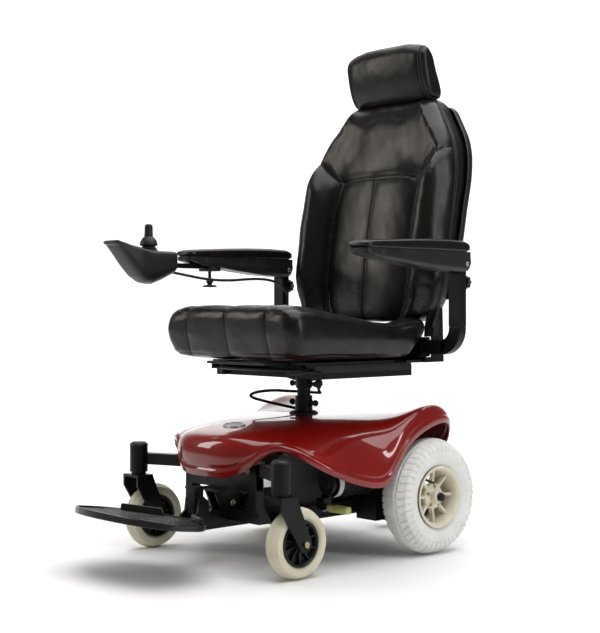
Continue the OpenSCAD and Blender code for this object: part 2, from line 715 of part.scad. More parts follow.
// L-shaped tube that slides in the receiver, for the width between the arms
module arm_bracket(side) color(black) on_axle() on_side(side) {
    post_in = arm_x - arm_post_w / 2;
    bend_out = arm_bend_z - arm_low_z;
    bend_in = bend_out - arm_post_w;
    bend_x = post_in - bend_in;
    difference() {
        along_y(arm_post_y - arm_post_d / 2, arm_post_y + arm_post_d / 2) {
            translate([80, arm_low_z]) square([bend_x - 80, arm_post_w]);
            translate([bend_x, arm_bend_z]) difference() {
                circle(r = bend_out);
                circle(r = bend_in);
                translate([-bend_out - 1, -bend_out - 1]) square([bend_out + 1, 2 * bend_out + 2]);
                translate([-1, 0]) square([bend_out + 2, bend_out + 1]);
            }
            translate([post_in, arm_bend_z]) square([arm_post_w, 521 - arm_bend_z]);
            translate([post_in + 3, arm_bend_z]) square([arm_post_w - 6, 610 - arm_bend_z]);
        }
        for (y = [[arm_post_y - 20, arm_post_y - 8], [arm_post_y + 8, arm_post_y + 20]])
            block([post_in - 1, y[0], 521], [arm_x + arm_post_w, y[1], 620]);
        block([79, arm_post_y - 8, arm_low_z + 3], [200, arm_post_y + 8, arm_low_z + arm_post_w - 3]);
        block([post_in + 6, arm_post_y - 5, 530], [post_in + arm_post_w - 6, arm_post_y + 5, 611]);
    }
}

// Upper tube of the armrest, with its clamp knob and the pin that the arm flips on
module arm_post(side) color(black) on_axle() on_side(side) {
    difference() {
        union() {
            block([arm_x - 17, arm_post_y - 11, 521 + gap], [arm_x + 17, arm_post_y + 11, arm_pivot_z]);
            rod_x(11, arm_x - 17, arm_x + 17, arm_post_y, arm_pivot_z);
        }
        block([arm_x - 14 - gap, arm_post_y - 8 - gap, 521], [arm_x + 14 + gap, arm_post_y + 8 + gap, 650]);
    }
    rod_x(4, arm_x - 30, arm_x + 30, arm_post_y, arm_pivot_z);
    rod_y(5, arm_post_y + 10, arm_post_y + 20, arm_x, 623);
    translate([arm_x, arm_post_y + 20, 623]) rotate([-90, 0, 0]) cylinder(r = 14, h = 12);
    for (k = [0 : 7]) translate([arm_x + 13 * cos(45 * k), arm_post_y + 32, 623 + 13 * sin(45 * k)])
        rotate([90, 0, 0]) cylinder(r = 3, h = 12);
}

module arm_panel(side) color(charcoal) on_axle() on_side(side) {
    difference() {
        along_x(arm_x - 29, arm_x + 29) polygon([[-284, 679], [-242, 671], [-188, 665], [-124, 657],
                                                 [-60, 650], [0, 647], [44, 647], [52, 656], [54, 692],
                                                 [-286, 690]]);
        block([arm_x - 17 - gap, arm_post_y - 11 - 2 * gap, 600], [arm_x + 17 + gap, 80, arm_pivot_z + 12]);
        rod_x(4 + run, arm_x - 40, arm_x + 40, arm_post_y, arm_pivot_z);
        block([arm_x - 24, -270, 660], [arm_x + 24, -20, 684]);
    }
    if (side < 0) {
        difference() {
            block([arm_x - 20, -222, 655], [arm_x + 20, -190, 684.1]);
            block([arm_x - 12 - gap, -223, 662 - gap], [arm_x + 12 + gap, -189, 674 + gap]);
        }
        rod_z(4, 630, 655.1, arm_x, -206);
        rod_z(16, 618, 622, arm_x, -206);
        along_x(arm_x - 14, arm_x + 14) polygon([[-211, 622], [-201, 622], [-203, 634], [-209, 634]]);
        block([arm_x - 24.1, -222, 676], [arm_x + 24.1, -190, 684.1]);
    }
}

module arm_pad(side) color("#202022") on_axle() on_side(side)
    along_y(-290, 51) translate([arm_x - pad_w / 2, 692 + eps])
        union() {
            translate([0, 0]) square([pad_w, 8]);
            translate([6, 8]) square([pad_w - 12, pad_top - 692 - 8]);
            for (x = [7, pad_w - 7]) translate([x, 8]) circle(r = 7);
        }

// ---------- joystick ----------

module joystick_arm() color(black) on_axle() {
    block([pod_x - 12, pod_rear - 16, 662], [pod_x + 12, -150, 674]);
    block([pod_x - 20, pod_rear - 20, 656], [pod_x + 20, pod_rear, 680]);
}

module joystick_housing() color(charcoal) on_axle() difference() {
    along_x(pod_x - 38, pod_x + 38) polygon([[pod_rear, 701], [-405, 702], [-462, 713], [-505, 725],
        [-509, 720], [-496, 692], [-462, 664], [-437, 638], [-416, 624], [-396, 620.5], [-372, 629],
        [pod_rear, 646]]);
    rod_z(20, 660, 710, pod_x, stick_y);
    rod_x(2 + run, pod_x - 25, pod_x + 25, stick_y, stick_z);
    rod_z(5.3, 703.4, 730, pod_x, key_y);
    block([pod_x - 20 - gap, pod_rear - 20 - gap, 656 - gap], [pod_x + 20 + gap, pod_rear + 1, 680 + gap]);
}

module joystick_gimbal() color(steel) on_axle() difference() {
    union() {
        translate([pod_x, stick_y, stick_z]) sphere(r = 14);
        rod_x(2, pod_x - 24, pod_x + 24, stick_y, stick_z);
    }
    translate([pod_x, stick_y, stick_z - 20]) cylinder(r = 8, h = 40);
    rod_y(2 + run, stick_y - 20, stick_y + 20, pod_x, stick_z);
}

module joystick_stick() color("#141415") on_axle() {
    translate([pod_x, stick_y, stick_z - 5]) cylinder(r = 4, h = 60);
    rod_y(2, stick_y - 12, stick_y + 12, pod_x, stick_z);
    translate([pod_x, stick_y, 711]) cylinder(r1 = 17, r2 = 7, h = 18);
    translate([pod_x, stick_y, 738]) cylinder(r1 = 7, r2 = 12, h = 14);
    translate([pod_x, stick_y, 752]) cylinder(r1 = 12, r2 = 8, h = 14);
}

module power_key() color("#b9bbbd") on_axle() rod_z(5, 705, 711.5, pod_x, key_y);

// ---------- leads ----------

lead_r = 3.5;
main_route = [[-30, -138, 315], [-40, -150, 324], [-56, -182, 332], [-74, -218, 342], [-86, -246, 352],
              [-84, -256, 360], [-70, -244, 367], [-50, -214, 370], [-36, -186, 368], [-32, -158, 366],
              [-26, -134, 364], [-8, -122, 363], [12, -124, 363], [22, -132, 365], [24, -138, 370], [24, -138, 375]];
seat_route = [[24, -138, 397.4], [24, -138, 401], [32, -137, 403], [48, -134, 403], [62, -132, 403],
              [70, -131, 406], [71, -131, 411]];
arm_route = [[-301, pod_rear + 1, 651], [-301, -322, 651], [-298, -296, 647], [-292, -274, 643], [-280, -250, 638],
             [-270, -215, 634], [-268, -160, 634], [-268, -100, 638], [-270, -50, 638], [-272, -10, 632], [-276, 14, 622],
             [-276, 30, 606], [-277, 36, 590], [-279, 36, 572], [-283.8, 36, 562]];

module main_lead() color("#151516") on_axle() lead(main_route, lead_r, 8, 3);
module seat_lead() color("#151516") on_axle() lead(seat_route, lead_r, 8, 3);
module joystick_lead() color("#151516") on_axle() lead(arm_route, lead_r, 8, 3);
module lead_connector() color("#3a3a3c") on_axle() {
    block([17, -145, 376], [31, -131, 396]);
    block([16, -146, 384], [32, -130, 388]);
}

// ---------- nodes ----------

main_frame();
caster_arm(1);  // caster_arm_left
caster_arm(-1);  // caster_arm_right
footrest_hanger();
footrest_beam();
post_socket();
battery_tray();
batteries();
control_module();
shroud();
gearmotor(1);  // gearmotor_left
gearmotor(-1);  // gearmotor_right
anti_tip_frame();
release_lever(1);  // release_lever_left
release_lever(-1);  // release_lever_right
drive_rim(1);  // drive_rim_left
drive_rim(-1);  // drive_rim_right
drive_tyre(1);  // drive_tyre_left
drive_tyre(-1);  // drive_tyre_right
caster_fork(1);  // caster_fork_left
caster_fork(-1);  // caster_fork_right
caster_axle(1);  // caster_axle_left
caster_axle(-1);  // caster_axle_right
caster_hub(1);  // caster_hub_left
caster_hub(-1);  // caster_hub_right
caster_tyre(1);  // caster_tyre_left
caster_tyre(-1);  // caster_tyre_right
anti_tip_wheel(1);  // anti_tip_wheel_left
anti_tip_wheel(-1);  // anti_tip_wheel_right
footplate();
seat_post();
seat_frame();
plate_bolts();
seat_pan();
slide_lever();
seat_cushion();
arm_receiver();
recline_hinges();
back_shell();
back_cushion();
recline_lever();
headrest_posts();
headrest();
arm_bracket(1);  // arm_bracket_left
arm_bracket(-1);  // arm_bracket_right
arm_post(1);  // arm_post_left
arm_post(-1);  // arm_post_right
arm_panel(1);  // arm_panel_left
arm_panel(-1);  // arm_panel_right
arm_pad(1);  // arm_pad_left
arm_pad(-1);  // arm_pad_right
joystick_arm();
joystick_housing();
joystick_gimbal();
joystick_stick();
power_key();
main_lead();
lead_connector();
seat_lead();
joystick_lead();
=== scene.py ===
"""Looks of the power wheelchair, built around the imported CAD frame.

Metres, +Z up; the chair faces -Y and the occupant's left is +X. Most shapes are given in
millimetres measured from the drive axle (X from the middle plane, Y back, Z up from the floor).
"""

import json
import math

import bmesh
import bpy
import numpy as np
from mathutils import Matrix, Vector
from mathutils.bvhtree import BVHTree
from mathutils.kdtree import KDTree


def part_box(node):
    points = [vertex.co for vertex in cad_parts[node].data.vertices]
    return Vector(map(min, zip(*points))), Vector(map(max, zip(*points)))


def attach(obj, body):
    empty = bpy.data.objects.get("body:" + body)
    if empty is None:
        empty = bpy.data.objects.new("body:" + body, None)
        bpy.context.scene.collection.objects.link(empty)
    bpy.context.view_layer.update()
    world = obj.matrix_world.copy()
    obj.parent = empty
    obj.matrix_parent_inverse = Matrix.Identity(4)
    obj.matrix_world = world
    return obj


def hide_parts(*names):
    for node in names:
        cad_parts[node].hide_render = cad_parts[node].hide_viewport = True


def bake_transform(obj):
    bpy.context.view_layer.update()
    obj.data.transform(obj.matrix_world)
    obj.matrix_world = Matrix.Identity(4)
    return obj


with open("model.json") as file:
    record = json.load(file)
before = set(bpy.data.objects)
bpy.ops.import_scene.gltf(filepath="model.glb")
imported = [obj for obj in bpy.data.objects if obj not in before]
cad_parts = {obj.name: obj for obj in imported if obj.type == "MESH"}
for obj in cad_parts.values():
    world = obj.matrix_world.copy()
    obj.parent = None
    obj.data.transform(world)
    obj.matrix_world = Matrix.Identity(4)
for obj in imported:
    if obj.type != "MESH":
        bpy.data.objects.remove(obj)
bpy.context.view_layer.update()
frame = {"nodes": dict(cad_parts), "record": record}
nodes = frame["nodes"]
MM = 0.001
tyre_low, tyre_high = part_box("drive_tyre_left")
AXLE_Y = (tyre_low.y + tyre_high.y) / 2
SIDES = (("left", 1), ("right", -1))
scene = bpy.context.scene


# ---- places and meshes


def at(x, y, z):
    """A point given in millimetres from the drive axle, in the frame."""
    return Vector((x * MM, y * MM + AXLE_Y, z * MM))


def make_object(name, verts, faces, material):
    """A smooth mesh; the material is given itself or by its name in MATERIALS."""
    mesh = bpy.data.meshes.new(name)
    mesh.from_pydata([tuple(v) for v in verts], [], [tuple(f) for f in faces])
    mesh.validate()
    mesh.update()
    obj = bpy.data.objects.new(name, mesh)
    scene.collection.objects.link(obj)
    mesh.polygons.foreach_set("use_smooth", [True] * len(mesh.polygons))
    mesh.materials.append(MATERIALS.get(material, material))
    return obj


def place(obj, body, slot, *replaced):
    """Rides on a body and stands for the CAD nodes named; the slot argument is not used."""
    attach(obj, body)
    if replaced:
        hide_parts(*replaced)
    return obj


def edit(obj):
    """A bmesh of the object; keep() writes it back."""
    bm = bmesh.new()
    bm.from_mesh(obj.data)
    return bm


def keep(obj, bm):
    bm.to_mesh(obj.data)
    bm.free()
    obj.data.update()


def tidy(obj, distance=1e-5):
    """Merges doubled points and turns every face outwards."""
    bm = edit(obj)
    bmesh.ops.remove_doubles(bm, verts=bm.verts, dist=distance)
    bmesh.ops.dissolve_degenerate(bm, edges=bm.edges, dist=1e-7)
    bmesh.ops.recalc_face_normals(bm, faces=bm.faces)
    keep(obj, bm)
    return obj


def apply_modifiers(obj):
    graph = bpy.context.evaluated_depsgraph_get()
    mesh = bpy.data.meshes.new_from_object(obj.evaluated_get(graph))
    old = obj.data
    obj.modifiers.clear()
    obj.data = mesh
    bpy.data.meshes.remove(old)
    return obj


def surface_of(obj):
    return BVHTree.FromObject(obj, bpy.context.evaluated_depsgraph_get())


def sharp_smooth(obj, degrees=35):
    """Smooth shading that keeps edges sharper than the angle."""
    mesh = obj.data
    mesh.polygons.foreach_set("use_smooth", [True] * len(mesh.polygons))
    mesh.set_sharp_from_angle(angle=math.radians(degrees))
    return obj


def bevel(obj, width, segments=3, degrees=30):
    """Rounds the edges that are sharper than the angle."""
    m = obj.modifiers.new("bevel", "BEVEL")
    m.width = width * MM
    m.segments = segments
    m.limit_method = "ANGLE"
    m.angle_limit = math.radians(degrees)
    m.harden_normals = False
    return obj


def join(name, parts):
    """One object from several with the same material."""
    bm = bmesh.new()
    for p in parts:
        p.data.transform(p.matrix_world)
        bm.from_mesh(p.data)
    first = parts[0]
    for p in parts[1:]:
        bpy.data.objects.remove(p)
    keep(first, bm)
    first.matrix_world = Matrix.Identity(4)
    first.name = name
    return first


def angles(count):
    """Evenly spaced directions round a full turn."""
    return [2 * math.pi * k / count for k in range(count)]


def grid_faces(rows, cols, wrap_rows=False, wrap_cols=False):
    faces = []
    for i in range(rows if wrap_rows else rows - 1):
        for j in range(cols if wrap_cols else cols - 1):
            a, b = i * cols + j, i * cols + (j + 1) % cols
            c, d = ((i + 1) % rows) * cols + (j + 1) % cols, ((i + 1) % rows) * cols + j
            faces.append((a, b, c, d))
    return faces


def through(points, steps, closed=False):
    """Catmull-Rom curve that passes through every point."""
    p = np.asarray(points, float)
    n = len(p)
    out = []
    for i in range(n if closed else n - 1):
        q = [p[(i + k) % n] if closed else p[min(max(i + k, 0), n - 1)] for k in (-1, 0, 1, 2)]
        for s in range(steps):
            t = s / steps
            out.append(0.5 * (2 * q[1] + (q[2] - q[0]) * t
                              + (2 * q[0] - 5 * q[1] + 4 * q[2] - q[3]) * t * t
                              + (3 * q[1] - q[0] - 3 * q[2] + q[3]) * t**3))
    if not closed:
        out.append(p[-1])
    return np.array(out)


def ring_frames(path, closed):
    """Two directions across the path at each point, carried along it without a twist."""
    if closed:
        tangent = np.roll(path, -1, 0) - np.roll(path, 1, 0)
    else:
        tangent = np.gradient(path, axis=0)
    tangent /= np.linalg.norm(tangent, axis=1)[:, None]
    frames = []
    a = np.array([0, 0, 1.0]) if abs(tangent[0][2]) < 0.9 else np.array([1.0, 0, 0])
    for ahead in tangent:
        a = a - (a @ ahead) * ahead
        a /= np.linalg.norm(a)
        frames.append((a, np.cross(ahead, a)))
    return frames


def sweep(name, path, radius, material, sides=12, closed=False, flat=1.0):
    """A round or flattened tube along a path in metres; radius is a number or one per point."""
    path = np.asarray([tuple(p) for p in path], float)
    frames = ring_frames(path, closed)
    radii = np.broadcast_to(np.asarray(radius, float) * MM, (len(path),))
    verts = []
    for p, (a, b), r in zip(path, frames, radii):
        for angle in angles(sides):
            verts.append(p + r * (math.cos(angle) * a * flat + math.sin(angle) * b))
    faces = grid_faces(len(path), sides, closed, True)
    if not closed:
        faces.append(tuple(range(sides)))
        faces.append(tuple((len(path) - 1) * sides + k for k in reversed(range(sides))))
    return tidy(make_object(name, verts, faces, material))


def lathe(name, outline, origin, axis, material, steps=96, closed=False, flip=1):
    """Turns (radius, along) points in mm about an axis ("X", "Y" or "Z") through the origin."""
    verts = []
    for a in angles(steps):
        c, s = math.cos(a), math.sin(a)
        for r, along in outline:
            w = along * flip
            v = {"X": (w, r * c, r * s), "Y": (r * s, w, r * c), "Z": (r * c, r * s, w)}[axis]
            verts.append(Vector(origin) + Vector(v) * MM)
    faces = grid_faces(steps, len(outline), True, closed)
    return tidy(make_object(name, verts, faces, material))


def arc(cx, cy, r, start, end, steps):
    return [(cx + r * math.cos(math.radians(start + (end - start) * k / steps)),
             cy + r * math.sin(math.radians(start + (end - start) * k / steps)))
            for k in range(steps + 1)]


def smoothstep(a, b, x):
    t = np.clip((x - a) / (b - a), 0, 1)
    return t * t * (3 - 2 * t)


def read(table, x):
    """The value between a table's (x, value) pairs."""
    xs, values = zip(*table)
    return float(np.interp(x, xs, values))


def squircle(angle, power, power_below=None):
    """A point of a rounded square; a second power may shape its lower half."""
    c, d = math.cos(angle), math.sin(angle)
    if power_below and d <= 0:
        power = power_below
    squeeze = 1 / (abs(c) ** power + abs(d) ** power) ** (1 / power)
    return c * squeeze, d * squeeze


def stations(low, high, low_round, high_round, low_steps, steps, high_steps):
    """Places from low to high that lie closer together over the rounded ends."""
    out = [low + low_round * (1 - math.cos(math.pi / 2 * k / low_steps)) for k in range(low_steps + 1)]
    out += list(np.linspace(low + low_round, high - high_round, steps)[1:])
    out += [high - high_round + high_round * math.sin(math.pi / 2 * k / high_steps)
            for k in range(1, high_steps + 1)]
    return out


def run_length(points):
    """Distance from a path's start to each of its points."""
    return np.concatenate([[0], np.cumsum(np.linalg.norm(np.diff(points, axis=0), axis=1))])


def resample(points, run, t):
    """The path's points at the given distances from its start."""
    return np.stack([np.interp(t, run, points[:, c]) for c in range(points.shape[1])], -1)


def skin(name, rings, material, caps=True):
    """Joins rings of equal length into a tube, with a face on each end unless it stays open."""
    count = len(rings[0])
    faces = grid_faces(len(rings), count, False, True)
    if caps:
        faces += [tuple(range(count)), tuple((len(rings) - 1) * count + k for k in range(count))]
    return tidy(make_object(name, [p for ring in rings for p in ring], faces, material))


# ---- materials


def material_base(name, color, rough, metallic=0.0, specular=0.5, coat=0.0, coat_rough=0.05):
    mat = bpy.data.materials.new(name)
    mat.use_nodes = True
    shader = mat.node_tree.nodes["Principled BSDF"]
    values = {"Base Color": (*color, 1), "Roughness": rough, "Metallic": metallic,
              "Specular IOR Level": specular, "Coat Weight": coat, "Coat Roughness": coat_rough}
    for key, value in values.items():
        shader.inputs[key].default_value = value
    return mat, shader


def texture(mat, kind, scale, detail=2.0, stretch=(1, 1, 1)):
    """A noise or Voronoi texture in the object's own metres; scale is features per metre."""
    tree = mat.node_tree
    coords = tree.nodes.new("ShaderNodeTexCoord")
    mapping = tree.nodes.new("ShaderNodeMapping")
    mapping.inputs["Scale"].default_value = stretch
    tree.links.new(coords.outputs["Object"], mapping.inputs["Vector"])
    node = tree.nodes.new("ShaderNodeTexNoise" if kind == "noise" else "ShaderNodeTexVoronoi")
    node.inputs["Scale"].default_value = scale
    if kind == "noise":
        node.inputs["Detail"].default_value = detail
    tree.links.new(mapping.outputs["Vector"], node.inputs["Vector"])
    return node.outputs["Fac" if kind == "noise" else "Distance"]


def ramp(mat, source, low, high, start=0.3, end=0.7):
    """Turns a texture's value into a colour or a number between two ends."""
    tree = mat.node_tree
    node = tree.nodes.new("ShaderNodeValToRGB")
    node.color_ramp.elements[0].position = start
    node.color_ramp.elements[1].position = end
    for element, value in zip(node.color_ramp.elements, (low, high)):
        element.color = (*value, 1) if isinstance(value, tuple) else (value, value, value, 1)
    tree.links.new(source, node.inputs["Fac"])
    return node.outputs["Color"]


def vary_color(mat, shader, low, high, scale, detail=3.0, start=0.3, end=0.7):
    out = ramp(mat, texture(mat, "noise", scale, detail), low, high, start, end)
    mat.node_tree.links.new(out, shader.inputs["Base Color"])


def vary_rough(mat, shader, low, high, scale, detail=3.0):
    out = ramp(mat, texture(mat, "noise", scale, detail), low, high)
    mat.node_tree.links.new(out, shader.inputs["Roughness"])


def bump(mat, shader, layers):
    """Stacks bump layers: (texture output, strength, height in mm)."""
    normal = None
    for source, strength, height in layers:
        node = mat.node_tree.nodes.new("ShaderNodeBump")
        node.inputs["Strength"].default_value = strength
        node.inputs["Distance"].default_value = height * MM
        mat.node_tree.links.new(source, node.inputs["Height"])
        if normal is not None:
            mat.node_tree.links.new(normal, node.inputs["Normal"])
        normal = node.outputs["Normal"]
    mat.node_tree.links.new(normal, shader.inputs["Normal"])
    return mat


def vinyl_material(name, low, high, rough_low, rough_high, grain=1.0):
    """Upholstery vinyl: fine cell grain, soft wrinkles and an uneven sheen."""
    mat, shader = material_base(name, low, rough_low, specular=0.31)
    vary_color(mat, shader, low, high, 6, 4)
    vary_rough(mat, shader, rough_low, rough_high, 18, 4)
    cells = texture(mat, "voronoi", 620)
    fine = texture(mat, "noise", 1500, 3)
    wrinkles = texture(mat, "noise", 42, 4, (1, 1, 1.6))
    return bump(mat, shader, [(wrinkles, 0.2, 0.7), (cells, 0.3 * grain, 0.25), (fine, 0.25 * grain, 0.12)])


def paint_material(name, low, high, rough, speckle=0.3, metallic=0.0):
    """Powder coat or enamel: slight mottling and a fine orange-peel texture."""
    mat, shader = material_base(name, low, rough, metallic, 0.19)
    vary_color(mat, shader, low, high, 25, 5)
    vary_rough(mat, shader, rough - 0.06, rough + 0.08, 60, 5)
    peel = texture(mat, "noise", 900, 2)
    return bump(mat, shader, [(peel, speckle, 0.12)])


def lacquer_material():
    """Deep red automotive lacquer with a clear coat and a trace of orange peel."""
    mat, shader = material_base("shroud_lacquer", (0.21, 0.005, 0.004), 0.3, 0.0, 0.1, 1.0, 0.03)
    vary_color(mat, shader, (0.18, 0.004, 0.003), (0.24, 0.007, 0.004), 7, 3)
    peel = texture(mat, "noise", 160, 1)
    return bump(mat, shader, [(peel, 0.06, 0.25)])


def rubber_material(name, low, high, rough, pores=0.35):
    mat, shader = material_base(name, low, rough, 0.0, 0.35)
    vary_color(mat, shader, low, high, 22, 6)
    vary_rough(mat, shader, rough - 0.08, rough + 0.08, 40, 4)
    fine = texture(mat, "noise", 1100, 4)
    scuff = texture(mat, "noise", 130, 5)
    return bump(mat, shader, [(scuff, 0.15, 0.4), (fine, pores, 0.15)])


def metal_material(name, low, high, rough, stretch=(1, 1, 1)):
    mat, shader = material_base(name, low, rough, 1.0)
    vary_color(mat, shader, low, high, 90, 5)
    brushed = texture(mat, "noise", 700, 3, stretch)
    out = ramp(mat, brushed, rough - 0.08, rough + 0.12)
    mat.node_tree.links.new(out, shader.inputs["Roughness"])
    return bump(mat, shader, [(brushed, 0.15, 0.08)])


def plastic_material(name, low, high, rough, grain=0.5):
    """Moulded plastic with a spark-eroded grain."""
    mat, shader = material_base(name, low, rough, 0.0, 0.34)
    vary_color(mat, shader, low, high, 12, 4)
    vary_rough(mat, shader, rough - 0.05, rough + 0.08, 30, 4)
    cells = texture(mat, "voronoi", 1300)
    return bump(mat, shader, [(cells, grain, 0.12)])


def sleeve_material():
    mat, shader = material_base("lever_sleeve", (0.62, 0.66, 0.18), 0.25, 0.0, 0.5)
    shader.inputs["Transmission Weight"].default_value = 0.35
    vary_color(mat, shader, (0.55, 0.58, 0.12), (0.72, 0.74, 0.30), 60, 3)
    return bump(mat, shader, [(texture(mat, "noise", 200, 2), 0.2, 0.4)])


MATERIALS = {
    "frame_black": paint_material("frame_paint", (0.0045, 0.0045, 0.0048), (0.0078, 0.0074, 0.0074), 0.34),
    "shroud_red": lacquer_material(),
    "plastic_charcoal": plastic_material("charcoal_plastic", (0.0085, 0.0085, 0.009),
                                         (0.014, 0.0135, 0.0135), 0.38),
    "vinyl_black": vinyl_material("black_vinyl", (0.0036, 0.0031, 0.0027), (0.0068, 0.0055, 0.0047),
                                  0.25, 0.34),
    "tyre_white": rubber_material("white_tyre_rubber", (0.70, 0.70, 0.67), (0.80, 0.80, 0.78), 0.72),
    "tyre_cream": rubber_material("cream_tyre_rubber", (0.60, 0.56, 0.42), (0.70, 0.67, 0.53), 0.55),
    "rim_ivory": paint_material("ivory_enamel", (0.64, 0.60, 0.46), (0.74, 0.71, 0.58), 0.22, 0.12),
    "zinc": metal_material("yellow_zinc", (0.30, 0.25, 0.15), (0.42, 0.37, 0.25), 0.34),
    "steel": metal_material("bright_steel", (0.52, 0.52, 0.53), (0.66, 0.66, 0.66), 0.26),
    "battery_case": plastic_material("battery_case", (0.05, 0.055, 0.06), (0.08, 0.085, 0.09), 0.5),
    "sleeve_yellow": sleeve_material(),
    "lead_black": rubber_material("lead_jacket", (0.006, 0.006, 0.006), (0.012, 0.012, 0.012), 0.40, 0.15),
    "key_grey": plastic_material("key_cap", (0.42, 0.42, 0.43), (0.50, 0.50, 0.50), 0.35, 0.2),
    "rubber_dark": rubber_material("dark_rubber", (0.008, 0.008, 0.0085), (0.015, 0.015, 0.015), 0.5),
}
PIPING = vinyl_material("piping_vinyl", (0.013, 0.012, 0.0115), (0.022, 0.020, 0.018), 0.28, 0.36, 0.4)
THREAD = rubber_material("stitch_thread", (0.030, 0.027, 0.025), (0.055, 0.050, 0.046), 0.6, 0.2)
LABEL = plastic_material("plain_label", (0.62, 0.62, 0.60), (0.74, 0.74, 0.72), 0.4, 0.1)
BADGE = metal_material("badge_metal", (0.36, 0.36, 0.37), (0.5, 0.5, 0.5), 0.22)
PLATE = plastic_material("plate_plastic", (0.009, 0.009, 0.009), (0.013, 0.0125, 0.012), 0.2, 0.1)
GLOSS_BLACK = paint_material("gloss_black", (0.010, 0.010, 0.011), (0.016, 0.016, 0.016), 0.14, 0.08)


# ---- camera, light and floor

CAMERA_AZIMUTH = 47.16
CAMERA_PLACE = (2203.9, -2220.0, 558.9)
CAMERA_LENS = 72.7393
CAMERA_SHIFT = -0.0099526


def make_camera():
    data = bpy.data.cameras.new("camera")
    data.sensor_width = 36
    data.lens = CAMERA_LENS
    data.shift_y = CAMERA_SHIFT
    data.clip_start = 0.1
    data.clip_end = 60
    cam = bpy.data.objects.new("camera", data)
    scene.collection.objects.link(cam)
    cam.location = at(*CAMERA_PLACE)
    a = math.radians(CAMERA_AZIMUTH)
    look = Vector((-math.sin(a), math.cos(a), 0))
    cam.rotation_euler = look.to_track_quat("-Z", "Y").to_euler()
    scene.camera = cam


def area_light(name, location, target, size, power, color=(1, 1, 1)):
    data = bpy.data.lights.new(name, "AREA")
    data.shape = "RECTANGLE"
    data.size, data.size_y = size
    data.energy = power
    data.color = color
    lamp = bpy.data.objects.new(name, data)
    scene.collection.objects.link(lamp)
    lamp.location = Vector(location)
    lamp.rotation_euler = (Vector(target) - Vector(location)).to_track_quat("-Z", "Y").to_euler()


def make_studio():
    """Pale floor that curves up into a backdrop, and the lamps."""
    world = bpy.data.worlds.new("studio")
    scene.world = world
    world.use_nodes = True
    background = world.node_tree.nodes["Background"]
    background.inputs["Color"].default_value = (1, 1, 1, 1)
    background.inputs["Strength"].default_value = 0.16
    scene.view_settings.view_transform = "Standard"
    turn = Matrix.Rotation(math.radians(CAMERA_AZIMUTH), 4, "Z")
    target = (0, 0, 0.6)
    area_light("overhead", (0.2, 0.3, 3.4), target, (4.4, 3.4), 165)
    area_light("front_left", (-2.9, -2.6, 2.0), target, (0.8, 2.4), 42, (1, 0.93, 0.84))
    area_light("right_rim", (3.4, 0.8, 1.8), target, (0.35, 2.6), 34)
    area_light("backdrop", turn @ Vector((0, 3.6, 4.6)), turn @ Vector((0, 7, 1.0)), (6, 2), 300)
    mat, shader = material_base("studio_floor", (0.86, 0.86, 0.86), 0.75)
    vary_color(mat, shader, (0.85, 0.85, 0.85), (0.88, 0.88, 0.88), 2, 2)
    depth, half, radius, steps, height = 5.0, 9.0, 2.0, 12, 6.0
    rows = [(-9.0, 0.0)] + [(depth + radius * math.sin(math.pi / 2 * k / steps),
                             radius - radius * math.cos(math.pi / 2 * k / steps)) for k in range(steps + 1)]
    rows.append((depth + radius, height))
    verts = [turn @ Vector((x, y, z)) for y, z in rows for x in (-half, half)]
    floor = make_object("studio_floor", verts, grid_faces(len(rows), 2), mat)


make_camera()
make_studio()


# ---- CAD parts that stay


def finish_cad_nodes():
    """Gives every CAD node its material, and rounds the edges of what is bent, welded or cast."""
    rounded = {"frame_black": 1.2, "rim_ivory": 1.2, "plastic_charcoal": 1.2, "battery_case": 2.5,
               "steel": 0.5, "zinc": 0.5, "sleeve_yellow": 2.0}
    slots = {s["node"]: s["material_slot"] for s in frame["record"]["subparts"]}
    for name, obj in nodes.items():
        slot = slots[name]
        obj.data.materials.clear()
        obj.data.materials.append(MATERIALS[slot])
        bpy.context.view_layer.objects.active = obj
        if obj.data.has_custom_normals:
            bpy.ops.mesh.customdata_custom_splitnormals_clear()
        obj.data.polygons.foreach_set("use_smooth", [True] * len(obj.data.polygons))
        weld = obj.modifiers.new("weld", "WELD")
        weld.merge_threshold = 2e-5
        if slot in rounded:
            bevel(obj, rounded[slot], 2, 40)
        weighted = obj.modifiers.new("weighted", "WEIGHTED_NORMAL")
        weighted.keep_sharp = False


finish_cad_nodes()


# ---- shroud and badge

